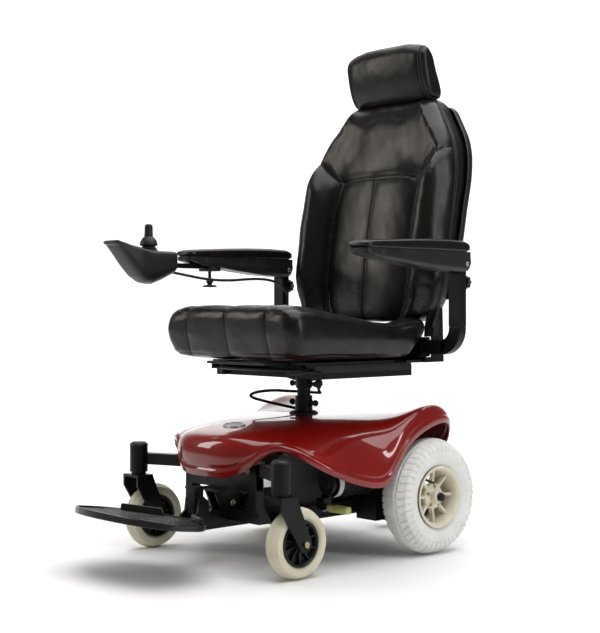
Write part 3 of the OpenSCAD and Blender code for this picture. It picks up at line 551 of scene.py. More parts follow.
# The same control net as the CAD shroud: rows from the nose round to the tail, each from
# the lower edge up and in to the middle of the deck, in millimetres.
SHROUD_NET = [
    [[0, -464, 196], [0, -474, 225], [0, -471, 274], [0, -448, 288], [0, -385, 299], [0, -330, 311]],
    [[40, -464, 195], [40, -473, 225], [39, -470, 274], [37, -446, 288], [26, -385, 299], [0, -322, 312]],
    [[82, -458, 198], [84, -466, 226], [82, -463, 274], [74, -440, 288], [42, -380, 300], [0, -312, 314]],
    [[116, -440, 214], [120, -447, 234], [118, -444, 274], [104, -420, 289], [57, -367, 302], [0, -300, 316]],
    [[144, -416, 246], [150, -422, 254], [146, -416, 272], [122, -390, 290], [68, -345, 306], [0, -285, 316]],
    [[178, -402, 263], [184, -405, 268], [176, -397, 279], [146, -362, 294], [80, -322, 309], [0, -268, 316]],
    [[214, -382, 250], [220, -382, 258], [202, -364, 272], [164, -330, 296], [88, -292, 312], [0, -248, 316]],
    [[246, -346, 219], [252, -344, 234], [214, -326, 266], [172, -292, 302], [92, -258, 314], [0, -226, 316]],
    [[261, -276, 188], [267, -275, 212], [222, -264, 264], [176, -242, 308], [94, -222, 316], [0, -200, 316]],
    [[268, -204, 168], [274, -205, 198], [230, -192, 268], [180, -184, 311], [95, -176, 317], [0, -166, 316]],
    [[269, -156, 170], [275, -162, 208], [240, -150, 284], [184, -140, 312], [96, -136, 317], [0, -132, 316]],
    [[267, -124, 220], [272, -128, 248], [250, -116, 302], [188, -106, 312], [97, -104, 317], [0, -102, 316]],
    [[264, -82, 264], [269, -86, 282], [254, -78, 326], [196, -74, 314], [98, -74, 316], [0, -74, 316]],
    [[261, -16, 293], [266, -18, 308], [252, -16, 353], [202, -20, 324], [100, -34, 316], [0, -44, 316]],
    [[258, 54, 306], [262, 54, 318], [246, 44, 352], [206, 24, 324], [102, 0, 316], [0, -16, 316]],
    [[226, 96, 272], [230, 100, 296], [218, 88, 320], [188, 58, 316], [98, 26, 315], [0, 6, 315]],
    [[196, 112, 226], [198, 116, 256], [190, 108, 298], [160, 84, 312], [86, 48, 314], [0, 24, 315]],
    [[120, 120, 200], [120, 126, 240], [116, 118, 290], [100, 98, 309], [56, 64, 313], [0, 40, 314]],
    [[0, 124, 196], [0, 130, 238], [0, 122, 290], [0, 104, 308], [0, 74, 313], [0, 50, 314]]]
POST_Y = -164


def shroud_points(us, vs):
    """The net's surface at every pair of the two sets of parameters."""
    net = np.array(SHROUD_NET, float)
    flip = np.array([-1.0, 1, 1])
    net = np.concatenate([net[1:2] * flip, net, net[-2:-1] * flip])
    net = np.concatenate([2 * net[:, :1] - net[:, 1:2], net, net[:, 4:3:-1] * flip], axis=1)
    out = net
    for axis, params in ((0, us), (1, vs)):
        out = np.moveaxis(out, axis, 0)
        count = len(out) - 4
        i = np.minimum(np.floor(params).astype(int), count)
        t = (params - i).reshape((-1,) + (1,) * (out.ndim - 1))
        w = [(1 - t) ** 3, 3 * t**3 - 6 * t**2 + 4, -3 * t**3 + 3 * t**2 + 3 * t + 1, t**3]
        out = np.moveaxis(sum(w[k] * out[i + k] for k in range(4)) / 6, 0, axis)
    return out


def make_shroud():
    us = np.linspace(0, len(SHROUD_NET) - 1, 217)
    vs = np.concatenate([np.linspace(0, 1, 22)[:-1], np.linspace(1, 5, 46)])
    half = shroud_points(us, vs)
    du, dv = np.gradient(half, axis=0), np.gradient(half, axis=1)
    normal = np.cross(du, dv)
    normal /= np.linalg.norm(normal, axis=2)[:, :, None] + 1e-9
    height = np.concatenate([np.zeros((len(us), 1)),
                             np.cumsum(np.linalg.norm(np.diff(half, axis=1), axis=2), axis=1)], axis=1)
    hem = 2.6 * (1 - smoothstep(13, 19, height)) - 1.2 * np.exp(-((height - 21) / 2.5) ** 2)
    half = half + normal * hem[:, :, None]
    half[0, :, 0] = 0
    half[-1, :, 0] = 0
    half[:, -1, 0] = 0
    mirrored = half[-2:0:-1] * np.array([-1, 1, 1])
    full = np.concatenate([half, mirrored])
    rows, cols = full.shape[:2]
    verts = [at(*p) for p in full.reshape(-1, 3)]
    obj = make_object("shroud_shell", verts, grid_faces(rows, cols, True), "shroud_red")
    tidy(obj, 2e-5)
    bm = edit(obj)
    hole = at(0, POST_Y, 0)
    doomed = [f for f in bm.faces
              if math.hypot(f.calc_center_median().x - hole.x, f.calc_center_median().y - hole.y) < 0.026]
    bmesh.ops.delete(bm, geom=doomed, context="FACES")
    keep(obj, bm)
    surface = surface_of(obj)
    thick = obj.modifiers.new("thickness", "SOLIDIFY")
    thick.thickness = 3 * MM
    thick.offset = -1
    bevel(obj, 0.8, 2, 60)
    place(obj, "base", "shroud_red", "shroud")
    return surface


def drop(surface, x, y, top=0.5):
    """The point of a surface straight below a place, and its normal there."""
    start = at(x, y, 0)
    hit, normal, _, _ = surface.ray_cast(Vector((start.x, start.y, top)), Vector((0, 0, -1)))
    return hit, normal


def make_grommet(surface):
    """Rubber ring that seals the seat post's hole in the deck."""
    profile = [(21.5, -6), (21.5, 4), (22.5, 6), (25, 7), (29, 6), (33, 3), (34.5, 0.4), (34.5, -1.5)]
    verts = []
    for a in angles(72):
        hit, _ = drop(surface, 34 * math.cos(a), POST_Y + 34 * math.sin(a))
        for r, up in profile:
            p = at(r * math.cos(a), POST_Y + r * math.sin(a), 0)
            verts.append(Vector((p.x, p.y, hit.z + up * MM)))
    obj = make_object("post_grommet", verts, grid_faces(72, len(profile), True, True), "rubber_dark")
    place(tidy(obj), "base", "rubber_dark")


def make_badge(surface):
    """A plain oval plate with a raised rim, laid on the nose of the shroud."""
    profile = [(0.0, 1.0), (0.3, 1.0), (0.6, 1.0), (0.82, 1.0), (0.84, 2.0), (0.9, 2.4), (0.97, 2.0),
               (1.0, 0.9), (1.0, -1.0)]
    for name, material, chosen, lift in (("badge_plate", BADGE, profile, 0),
                                         ("badge_centre", GLOSS_BLACK, profile[:4], 0.5)):
        rings = []
        for scale, up in chosen:
            spots = [drop(surface, 33 * scale * math.cos(a), -378 + 19 * scale * math.sin(a))
                     for a in angles(64)]
            rings.append([hit + normal * (up + lift) * MM for hit, normal in spots])
        place(skin(name, rings, material, False), "base", "shroud_red")


shroud_surface = make_shroud()
make_grommet(shroud_surface)
make_badge(shroud_surface)


# ---- drive wheels

WHEEL_R = 132.5
WHEEL_X = 245
RIM_R = 67


def tyre_outline(width, bead, radius, bulge, crown_r):
    """Section of a tyre from bead to bead as (radius, along) points."""
    half = width / 2
    pts = [(bead, -half * 0.62), (bead + 3, -half * 0.74), (bead + (radius - bead) * 0.28, -half * 0.95),
           (bead + (radius - bead) * 0.5, -half * bulge), (bead + (radius - bead) * 0.74, -half * 0.94),
           (radius - crown_r * 0.32, -half * 0.74), (radius - crown_r * 0.08, -half * 0.42), (radius, 0)]
    pts += [(r, -w) for r, w in reversed(pts[:-1])]
    return through(pts, 10)


def make_drive_tyre(side, s):
    """Pneumatic tyre with a ribbed crown and rows of slanted shoulder blocks."""
    outline = tyre_outline(78, RIM_R, WHEEL_R, 1.0, 34)
    steps, blocks, sipes = 480, 46, 92
    count = len(outline)
    r0, w0 = outline[:, 0], outline[:, 1]
    angle = np.array(angles(steps))
    r = np.repeat(r0[None], steps, 0)
    w = np.repeat(w0[None], steps, 0)
    across = np.abs(w) / 39
    lane = np.sign(w)
    phase = (angle[:, None] * blocks / (2 * math.pi) + 0.9 * across * lane + 0.25 * lane) % 1
    groove = smoothstep(0.34, 0.42, np.abs(phase - 0.5)) * smoothstep(100, 106, r)
    shoulder = smoothstep(0.46, 0.52, across)
    crown = np.exp(-((np.abs(w) - 15) / 1.7) ** 2) * smoothstep(118, 122, r)
    fine = (angle[:, None] * sipes / (2 * math.pi)) % 1
    sipe = smoothstep(0.4, 0.46, np.abs(fine - 0.5)) * (across < 0.34) * smoothstep(120, 124, r)
    depth = 3.2 * groove * shoulder + 3.0 * crown + 1.4 * sipe
    wall = 0.9 * np.exp(-((r - 86) / 1.4) ** 2) - 0.8 * np.exp(-((r - 99) / 1.2) ** 2)
    centre_r = 99.0
    dr, dw = r - centre_r, w
    length = np.hypot(dr, dw)
    scale = 1 - (depth + wall) / length
    r, w = centre_r + dr * scale, dw * scale
    verts = [at(s * (WHEEL_X + w[i, j]), -r[i, j] * math.sin(a), WHEEL_R + r[i, j] * math.cos(a))
             for i, a in enumerate(angle) for j in range(count)]
    obj = make_object("drive_tyre_cover_" + side, verts, grid_faces(steps, count, True), "tyre_white")
    place(tidy(obj, 1e-6), "drive_wheel_" + side, "tyre_white", "drive_tyre_" + side)


def make_drive_rim(side, s):
    """Cast rim: barrel, eight tapered spokes, hub with five bolts, and the tyre's valve."""
    centre = at(s * WHEEL_X, 0, WHEEL_R)
    body = "drive_wheel_" + side
    barrel = [(67.5, -35), (70.5, -35.5), (71, -33.5), (68, -31), (64, -29), (62.5, -20), (62, 10),
              (62.5, 22), (64.5, 28), (68, 31), (71, 33.5), (70.5, 36), (67, 36), (63, 33), (59.5, 27),
              (58.5, 14), (57.5, 4), (58, -20), (60, -32)]
    hub = [(8.6, -34), (20, -34), (21, -30), (21, -4), (24, 0), (29, 3), (30, 6), (30, 13), (29, 16),
           (24, 18), (17, 19.5), (16, 22), (15.6, 32), (14.5, 34), (8.6, 34)]
    parts = []
    for name, outline in (("barrel", barrel), ("hub", hub)):
        parts.append(lathe(name, outline, centre, "X", "rim_ivory", 128, True, s))
    section = [(-5.0, 3.0), (5.0, 3.0), (3.6, 12.5), (1.5, 14.0), (-1.5, 14.0), (-3.6, 12.5)]
    for spoke in angles(8):
        turn = Matrix.Rotation(spoke, 3, "X")
        rings = []
        for radius, grow, lift in ((24, 1.35, 0), (34, 1.0, 1.5), (48, 0.85, 3.5), (59.5, 1.1, 4.5)):
            rings.append([centre + turn @ (Vector((s * (b + lift), a * grow, radius)) * MM)
                          for a, b in section])
        parts.append(skin("spoke", rings, "rim_ivory", False))
    rim = join("drive_rim_casting_" + side, parts)
    bevel(rim, 0.9, 2, 32)
    sharp_smooth(rim, 40)
    place(rim, body, "rim_ivory", "drive_rim_" + side)
    bolts = []
    outline = [(0, 16), (3.6, 16), (4.2, 17), (4.2, 20.5), (3.2, 21.5), (0, 21.5)]
    for a in angles(5):
        spot = centre + Vector((0, 23 * math.sin(a), 23 * math.cos(a))) * MM
        bolts.append(lathe("bolt", outline, spot, "X", "zinc", 6, flip=s))
    bolts = join("rim_bolts_" + side, bolts)
    bevel(bolts, 0.3, 2, 30)
    place(bolts, body, "zinc")
    stem = [centre + Vector(p) * MM for p in ((s * 24, -38, 42), (s * 34, -35, 39), (s * 44, -31, 35))]
    valve = sweep("tyre_valve_" + side, stem, [3.4, 3.0, 2.6], "rubber_dark", 14)
    place(valve, body, "rubber_dark")


# ---- casters and anti-tip wheels

CASTER = (249, -418, 75)


def make_caster(side, s):
    """Grooved solid tyre on a webbed plastic wheel."""
    x, y, z = CASTER
    centre = at(s * x, y, z)
    body = "caster_wheel_" + side
    outline = tyre_outline(40, 48, 75, 1.0, 16)
    steps = 192
    r0, w0 = outline[:, 0], outline[:, 1]
    angle = np.array(angles(steps))
    lines = sum(np.exp(-((w0 - c) / 0.8) ** 2) for c in (-9.5, -3.2, 3.2, 9.5)) * (r0 > 68)
    side_line = np.exp(-((r0 - 60) / 0.9) ** 2)
    centre_r = 62.0
    dr, dw = r0 - centre_r, w0
    scale = 1 - (1.5 * lines + 0.5 * side_line) / np.hypot(dr, dw)
    r, w = centre_r + dr * scale, dw * scale
    verts = [centre + Vector((w[j], r[j] * math.sin(a), r[j] * math.cos(a))) * MM
             for a in angle for j in range(len(r))]
    tyre = make_object("caster_tyre_cover_" + side, verts, grid_faces(steps, len(r), True), "tyre_cream")
    place(tidy(tyre, 1e-6), body, "tyre_cream", "caster_tyre_" + side)
    barrel = [(48.5, -15), (49.5, -16.5), (47.5, -17.5), (44, -16), (42.5, -12), (42, 0), (42.5, 12),
              (44, 16), (47.5, 17.5), (49.5, 16.5), (48.5, 15)]
    web = [(12, -4), (20, -3), (43, -2.2), (43, 2.2), (20, 3), (12, 4)]
    hub = [(5.2, -22), (11, -22), (13, -20), (14.5, -10), (15.5, -4), (15.5, 4), (14.5, 10), (13, 20),
           (11, 22), (5.2, 22)]
    parts = [lathe("part", o, centre, "X", "plastic_charcoal", 96, True) for o in (barrel, web, hub)]
    outline = [(-14, 12), (-11, 26), (-13, 43), (13, 43), (11, 26), (14, 12)]
    for spoke in angles(10):
        turn = Matrix.Rotation(spoke, 3, "X")
        rings = [[centre + turn @ (Vector((a, t, b)) * MM) for a, b in outline] for t in (-1.5, 1.5)]
        parts.append(skin("part", rings, "plastic_charcoal"))
    wheel = join("caster_wheel_core_" + side, parts)
    bevel(wheel, 0.6, 2, 32)
    sharp_smooth(wheel, 40)
    place(wheel, body, "plastic_charcoal", "caster_hub_" + side)


def make_caster_cap(side, s):
    """Pressed dust cap on top of the barrel."""
    cap = [(0, 251.8), (10, 251.7), (15.4, 251.2), (17.2, 250.0), (21.8, 245.4), (21.8, 243.4), (15, 243.4)]
    obj = lathe("caster_cap_" + side, cap, at(s * CASTER[0], -460, 0), "Z", "plastic_charcoal", 64)
    place(sharp_smooth(obj, 50), "base", "plastic_charcoal")


for side, s in SIDES:
    make_drive_tyre(side, s)
    make_drive_rim(side, s)
    make_caster(side, s)
    make_caster_cap(side, s)


# ---- base details


MOTOR = (161, 0, 174)


def make_motor_details(side, s):
    """Plain white label round the motor's front end, its end cap and its cooling ribs."""
    x, y, z = MOTOR
    origin = at(s * x, y, z)
    outline = [(32.1, -234), (32.5, -233.4), (32.5, -220.6), (32.1, -220)]
    obj = lathe("motor_label_" + side, outline, origin, "Y", LABEL, 96)
    place(obj, "base", "key_grey")
    cap = [(0, -247), (8, -247), (9, -249), (12, -249), (13, -247), (25, -247), (26.5, -245), (26.5, -240)]
    cover = lathe("motor_cap_" + side, cap, origin, "Y", "plastic_charcoal", 64)
    place(sharp_smooth(cover), "base", "plastic_charcoal")
    ribs = []
    for k in range(9):
        y = -206 + 17 * k
        section = [(31.5, y), (33.4, y + 1), (33.4, y + 4), (31.5, y + 5)]
        ribs.append(lathe("rib", section, origin, "Y", "frame_black", 64))
    place(join("motor_ribs_" + side, ribs), "base", "frame_black")


def make_release_sleeve(side, s):
    """Soft translucent grip over the lever's end."""
    half = [(0, 0), (6, 0.2), (9.2, 1.6), (10.2, 5), (10.0, 30), (9.6, 60), (8.8, 62.5), (7.2, 64)]
    corners = [squircle(a, 3) for a in angles(40)]
    rings = [[at(s * (236.5 - along), -250 + 0.95 * r * c, 122 + 0.86 * r * d) for c, d in corners]
             for r, along in half]
    place(skin("release_sleeve_" + side, rings, "sleeve_yellow", False),
          "release_" + side, "sleeve_yellow")
    lever = [at(s * x, -250, z) for x, z in ((158, 114), (164, 115), (172, 120), (182, 122))]
    rod = sweep("release_rod_" + side, lever, [8, 6, 5, 5], "steel", 16, flat=0.5)
    place(rod, "release_" + side, "steel", "release_lever_" + side)


def make_frame_bolts():
    """Carriage bolts and nuts on the footrest hanger and the front cross member."""
    bolts = []
    for s in (1, -1):
        for y, z in ((-400, 132), (-362, 112)):
            outline = [(0, 30), (2, 30), (4.2, 29), (4.6, 27), (4.6, 24.5), (7.4, 24), (7.4, 23), (0, 23)]
            bolts.append(lathe("bolt", outline, at(0, y, z), "X", "zinc", 24, flip=s))
    for x in (-96, -32, 32, 96):
        outline = [(0, -426), (4.5, -426), (6.2, -424.6), (6.2, -422), (8.6, -421.4), (8.6, -420), (0, -420)]
        bolts.append(lathe("bolt", outline, at(x, 0, 212), "Y", "zinc", 24))
    obj = join("frame_bolts", bolts)
    place(sharp_smooth(obj, 40), "base", "zinc")


# ---- footplate

FOOT_TILT = math.radians(8.2)
FOOT_HINGE = (-514, 100)
FOOT_LEN = 216
FOOT_HALF = [(40, 16), (96, 30), (140, 58), (166, 92), (172, 126)]


def on_plate(x, y, z):
    """From the footplate's own tilted frame (y forward from the hinge is negative)."""
    c, s = math.cos(-FOOT_TILT), math.sin(-FOOT_TILT)
    return at(x, FOOT_HINGE[0] + y * c - z * s, FOOT_HINGE[1] + y * s + z * c)


def foot_outline(count, inset=0.0):
    """Evenly spaced points round the plate, drawn in by an inset."""
    half = FOOT_HALF + [(172 * math.cos(math.radians(a)), 160 + (FOOT_LEN - 160) * math.sin(math.radians(a)))
                        for a in range(0, 91, 15)]
    full = half + [(-x, y) for x, y in reversed(half[:-1])]
    curve = through([(x, -y) for x, y in full], 12)
    run = run_length(curve)
    pts = resample(curve, run, np.linspace(0, run[-1], count))
    tangent = np.gradient(pts, axis=0)
    tangent /= np.linalg.norm(tangent, axis=1)[:, None]
    normal = np.stack([-tangent[:, 1], tangent[:, 0]], 1)
    middle = np.array([0.0, -120.0])
    normal *= np.sign(np.sum((middle - pts) * normal, axis=1))[:, None]
    return pts + inset * normal


def make_footplate():
    """Ribbed tray with a raised rim, two heel stops and the hinge."""
    edge = [(1.2, -4.0), (0, -2.6), (0, 8.6), (1.0, 10.2), (3.4, 10.4), (5.6, 8.4), (8.0, 5.0), (16, 4.6),
            (30, 4.5)]
    rings = [[on_plate(x, y, z) for x, y in foot_outline(160, inset)] for inset, z in edge]
    plate = skin("footplate_pan", rings, PLATE)
    place(sharp_smooth(plate, 30), "footrest", "plastic_charcoal", "footplate")
    rim = foot_outline(400, 10)
    ribs = []
    for k in range(17):
        y = -206 + 11 * k
        crossing = [p[0] for p, q in zip(rim, np.roll(rim, -1, 0)) if (p[1] - y) * (q[1] - y) <= 0]
        if len(crossing) < 2:
            continue
        half = min(abs(min(crossing)), abs(max(crossing))) - 2
        section = [(-2.6, 4.2), (-1.6, 6.8), (-0.8, 7.4), (0.8, 7.4), (1.6, 6.8), (2.6, 4.2)]
        rings = [[on_plate(x, y + a, 4.2 + (b - 4.2) * low) for a, b in section]
                 for x, low in ((-half, 0.4), (-half + 3, 1.0), (half - 3, 1.0), (half, 0.4))]
        ribs.append(skin("rib", rings, PLATE, False))
    ribs = join("footplate_ribs", ribs)
    sharp_smooth(ribs, 40)
    place(ribs, "footrest", "plastic_charcoal")
    parts = []
    for s in (1, -1):
        turn = Matrix.Rotation(math.radians(-28 * s), 2)
        rings = []
        for z, grow in ((3, 0), (18, 0), (22, 1.5)):
            low, high = grow * 0.6, 8 - grow * 0.6
            outline = [(grow, low), (100 - grow, low), (100 - grow, high), (grow, high)]
            turned = [turn @ Vector((s * a, b)) for a, b in outline]
            rings.append([on_plate(s * 52 + p.x, -30 + p.y, z) for p in turned])
        parts.append(skin("stop", rings, PLATE))
    stops = join("heel_stops", parts)
    bevel(stops, 2.2, 3, 30)
    place(sharp_smooth(stops, 45), "footrest", "plastic_charcoal")
    ears = []
    hinge = at(0, *FOOT_HINGE)
    for s in (1, -1):
        eye = [(5.1, 30 * s), (9, 30 * s), (9, 44 * s), (5.1, 44 * s)]
        ears.append(lathe("ear", eye, hinge, "X", "frame_black", 40, True))
        cheek = [(0, -9), (0, 2), (-14, 2), (-44, -3), (-44, -9)]
        rings = [[on_plate(s * x, a, b) for a, b in cheek] for x in (30, 44)]
        ears.append(skin("ear", rings, "frame_black"))
    pin = [(0, -31.5), (4, -31.5), (5, -30.5), (5, 30.5), (4, 31.5), (0, 31.5)]
    ears.append(lathe("pin", pin, hinge, "X", "frame_black", 32))
    ears = join("footplate_hinge", ears)
    bevel(ears, 1.0, 2, 40)
    place(sharp_smooth(ears, 40), "footrest", "frame_black")


# ---- armrests

ARM_X = 301
ARM_PIVOT = (36, 664)
PAD_CROWN = [(-291, 706), (-285, 708), (-240, 711), (-157, 715.5), (-92, 718), (-24, 719), (30, 717.5),
             (48, 714), (52, 711)]


def end_round(y, front, rear, radius):
    """How far in an end draws a section, from 0 in the middle to 1 at the tip."""
    d = min(y - front, rear - y)
    if d >= radius:
        return 0.0
    t = 1 - max(d, 0) / radius
    return 1 - math.sqrt(max(1 - t * t, 0))


def make_arm_pad(side, s):
    """Foam pad with a full, rounded top that rises a little towards the rear."""
    rings = []
    for y in stations(-292, 53, 24, 23, 10, 60, 10):
        top = read(PAD_CROWN, y)
        tip = end_round(y, -292, 53, 24)
        half_w = 31.5 - 11 * tip
        low = 690.5 + 3 * tip
        centre = (top + low) / 2
        half_h = (top - low) / 2 * (1 - 0.5 * tip)
        corners = [squircle(a, 3.2, 6.0) for a in angles(48)]
        rings.append([at(s * (ARM_X + half_w * c), y, centre + half_h * d) for c, d in corners])
    pad = skin("arm_pad_foam_" + side, rings, "vinyl_black")
    place(pad, "arm_" + side, "vinyl_black", "arm_pad_" + side)


PANEL_LOW = [(-288, 681), (-242, 671), (-188, 665), (-124, 657), (-60, 650.5), (0, 647), (34, 646.5),
             (46, 650), (53, 662)]


def make_arm_panel(side, s):
    """Moulded valance under the pad, with a raised arc and a screw on its outer face."""
    ys = np.concatenate([np.linspace(-288, -276, 8), np.linspace(-276, 30, 96)[1:],
                         np.linspace(30, 54, 16)[1:]])
    top = 691.5
    rings = []
    for y in ys:
        low = read(PANEL_LOW, y)
        tip = end_round(y, -288, 54, 12)
        half = 30 - 6 * tip
        outer = []
        for k in range(15):
            t = k / 14
            z = top + (low - top) * t
            arc_z = 688 - 16 * (1 - ((y + 40) / 200) ** 2) if abs(y + 40) < 200 else 0
            ridge = 1.1 * smoothstep(3.0, -1.0, z - arc_z) if arc_z else 0.0
            tuck = 5 * smoothstep(0.72, 1.0, t) ** 2
            outer.append((half - tuck - 1.1 + ridge, z))
        inner = [(-x, z) for x, z in reversed(outer)]
        floor = [(outer[-1][0] * f, low - 0.4) for f in (0.8, 0.4, 0, -0.4, -0.8)]
        rings.append([at(s * (ARM_X + x), y, z) for x, z in outer + floor + inner])
    panel = skin("arm_valance_" + side, rings, "plastic_charcoal")
    cut_box(panel, (s * (ARM_X - 18), 23, 600), (s * (ARM_X + 18), 80, 678))
    sharp_smooth(panel, 32)
    place(panel, "arm_" + side, "plastic_charcoal", "arm_panel_" + side)
    screws = []
    for face in (1, -1):
        outline = [(0, 31.4), (1.6, 31.4), (1.8, 32.4), (4.4, 32.2), (5.2, 31.2), (5.2, 28)]
        screws.append(lathe("screw", outline, at(s * ARM_X, *ARM_PIVOT), "X", "steel", 32, flip=s * face))
    place(sharp_smooth(join("arm_screws_" + side, screws), 40), "arm_" + side, "steel")


def cut_box(obj, a, b):
    """Cuts away a box given by two corners in millimetres from the axle."""
    low = Vector([min(p, q) for p, q in zip(at(*a), at(*b))])
    high = Vector([max(p, q) for p, q in zip(at(*a), at(*b))])
    corners = ((low.x, low.y), (high.x, low.y), (high.x, high.y), (low.x, high.y))
    rings = [[Vector((x, y, z)) for x, y in corners] for z in (low.z, high.z)]
    tool = skin("cutter", rings, "plastic_charcoal")
    m = obj.modifiers.new("cut", "BOOLEAN")
    m.operation = "DIFFERENCE"
    m.solver = "EXACT"
    m.object = tool
    apply_modifiers(obj)
    bpy.data.objects.remove(tool)


def make_arm_knob(side, s):
    """Lobed hand knob that clamps the arm's height."""
    profile = [(0.0, 0), (0.55, 0), (0.62, -1.2), (0.92, 0), (1.0, 2), (1.0, 9), (0.94, 11.5), (0.6, 12.5),
               (0.0, 12.5)]
    rings = []
    for scale, depth in profile:
        lobes = [((15.2 + 1.7 * math.cos(8 * a)) * scale, a) for a in angles(120)]
        rings.append([at(s * (ARM_X + r * math.cos(a)), 68.5 - depth, 623 + r * math.sin(a))
                      for r, a in lobes])
    obj = skin("arm_knob_" + side, rings, "plastic_charcoal", False)
    place(sharp_smooth(obj, 40), "post_" + side, "plastic_charcoal")


# ---- joystick pod

POD_X = -301
POD_TOP = [(-336, 701), (-405, 702), (-462, 712.5), (-500, 724)]
POD_LOW = [(-336, 647), (-372, 630), (-396, 621.5), (-416, 624.5), (-437, 638), (-462, 664), (-490, 699),
           (-500, 712)]
STICK_Y = -394


def make_pod():
    """Moulded joystick housing: flat at the rear, drawn out to a rounded, raised nose."""
    rings = []
    for y in stations(-508, -334, 10, 6, 8, 60, 5):
        nose = end_round(y, -508, -100, 10)
        tail = end_round(y, -900, -334, 6)
        z1 = read(POD_TOP[::-1], y) - 3.5 * tail
        z0 = read(POD_LOW[::-1], y) + 3.5 * tail
        middle = (z0 + z1) / 2
        half_h = (z1 - z0) / 2 * (1 - 0.75 * nose)
        half_w = (38 - 9 * float(smoothstep(-430, -505, y))) * (1 - 0.22 * nose) - 2.5 * tail
        ring = []
        for c, d in [squircle(a, 7.0, 2.9) for a in angles(64)]:
            seam = 0.7 * math.exp(-((d - 0.62) / 0.03) ** 2)
            ring.append(at(POD_X + (half_w - seam) * c, y, middle + half_h * d))
        rings.append(ring)
    pod = skin("joystick_shell", rings, "plastic_charcoal")
    place(pod, "pod", "plastic_charcoal", "joystick_housing")
    surface = surface_of(pod)
    rings = []
    for scale, up in ((0.97, -0.6), (1.0, 0.6), (0.985, 1.1), (0.93, 1.2), (0.5, 1.2), (0.0, 1.2)):
        spots = [drop(surface, POD_X + 25 * scale * c, -455 + 33 * scale * d, 0.9)[0]
                 for c, d in (squircle(a, 5) for a in angles(72))]
        rings.append([p + Vector((0, 0, up * MM)) for p in spots])
    place(skin("keypad_overlay", rings, GLOSS_BLACK, False), "pod", "plastic_charcoal")
    keys = []
    for x, y, r in ((-14, -468, 4.2), (14, -468, 4.2), (-14, -452, 4.2), (14, -452, 4.2), (0, -470, 3.0)):
        hit, _ = drop(surface, POD_X + x, y, 0.9)
        outline = [(r, 0.4), (r, 2.2), (r * 0.85, 2.8), (0, 3.0)]
        keys.append(lathe("key", outline, hit, "Z", "key_grey", 32))
    place(sharp_smooth(join("keypad_keys", keys), 40), "pod", "key_grey")
    lamps = []
    for k in range(7):
        hit, _ = drop(surface, POD_X - 15 + 5 * k, -482 + 0.35 * (k - 3) ** 2, 0.9)
        lamps.append(lathe("lamp", [(1.6, 0.8), (1.6, 1.6), (1.0, 2.0), (0, 2.1)], hit, "Z", LABEL, 20))
    place(join("charge_lamps", lamps), "pod", "key_grey")
    ring = [(6.4, 1.0), (7.4, 1.4), (7.6, 2.6), (6.2, 3.0), (5.6, 2.0)]
    hit, _ = drop(surface, POD_X, -440, 0.9)
    place(lathe("power_key_ring", ring, hit, "Z", "key_grey", 48, True), "pod", "key_grey")
    button = [(0, 4.2), (3.4, 4.1), (4.7, 3.6), (5.0, 2.6), (5.0, -2.0), (0, -2.0)]
    place(lathe("power_key_cap", button, hit, "Z", "key_grey", 40), "key", "key_grey", "power_key")


def make_stick():
    """Collar, rubber bellows and the slim knob above them."""
    collar = [(22, 700), (22.5, 703.5), (21.5, 705), (19, 705.2), (17, 704), (17, 700)]
    foot = at(POD_X, STICK_Y, 0)
    place(lathe("stick_collar", collar, foot, "Z", "plastic_charcoal", 64, True), "pod", "plastic_charcoal")
    boot = [(15, 702), (17.6, 704.6), (19.6, 707), (19.4, 708.6), (16.8, 710.4), (15.4, 711.8), (16.4, 713),
            (20.2, 714), (21.6, 716.2), (21.2, 720), (19.2, 726), (15.6, 731.5), (12.2, 735), (9.6, 736.6)]
    place(lathe("stick_boot", through(boot, 4), foot, "Z", "rubber_dark", 64), "stick", "rubber_dark")
    knob = [(9.0, 735.6), (10.4, 736.4), (10.8, 739), (10.2, 746), (10.0, 755), (9.8, 760), (8.8, 763.6),
            (6.4, 765.7), (3.2, 766.6), (0, 766.8)]
    place(lathe("stick_knob", through(knob, 4), foot, "Z", "plastic_charcoal", 56),
          "stick", "plastic_charcoal", "joystick_stick")


def make_arm_clamp():
    """Wing knob under the clamp that holds the joystick arm."""
    stem = [(0, 656), (4, 656), (4.2, 640), (8.6, 638.5), (9, 629), (6, 626), (6, 623), (17, 621),
            (18.2, 618.5), (17, 616.5), (0, 616)]
    obj = lathe("clamp_knob", stem, at(POD_X, -206, 0), "Z", "plastic_charcoal", 56)
    place(sharp_smooth(obj, 40), "arm_right", "plastic_charcoal")
    outline = arc(-26, 0, 6, 90, 270, 8) + arc(26, 0, 6, -90, 90, 8)
    rings = [[at(POD_X + a * 0.82, -206 + b * 2.9, z) for a, b in outline] for z in (656, 683)]
    block = skin("clamp_block", rings, "plastic_charcoal")
    bevel(block, 1.5, 2, 40)
    place(sharp_smooth(block, 40), "arm_right", "plastic_charcoal")


# ---- leads

LEAD_R = 3.5
MAIN_ROUTE = [(-26, -140, 312), (-40, -150, 324), (-56, -182, 333), (-74, -218, 343), (-86, -246, 352),
              (-84, -256, 360), (-70, -244, 367), (-50, -214, 370), (-36, -186, 368), (-32, -158, 366),
              (-26, -134, 364), (-8, -122, 363), (12, -124, 363), (22, -132, 365), (24, -138, 370),
              (24, -138, 377)]
SEAT_ROUTE = [(24, -138, 396), (24, -138, 400), (32, -137, 403), (48, -134, 403), (62, -132, 403),
              (70, -131, 406), (71, -131, 411)]
POD_ROUTE = [(-301, -333, 651), (-301, -322, 651), (-298, -296, 647), (-292, -274, 643), (-280, -250, 638),
             (-272, -226, 635)]
ARM_ROUTE = [(-280, -250, 638), (-270, -215, 634), (-268, -160, 634), (-268, -100, 638), (-270, -50, 638),
             (-272, -10, 632), (-276, 14, 622), (-276, 30, 606), (-277, 36, 590), (-279, 36, 572),
             (-283.8, 36, 562)]


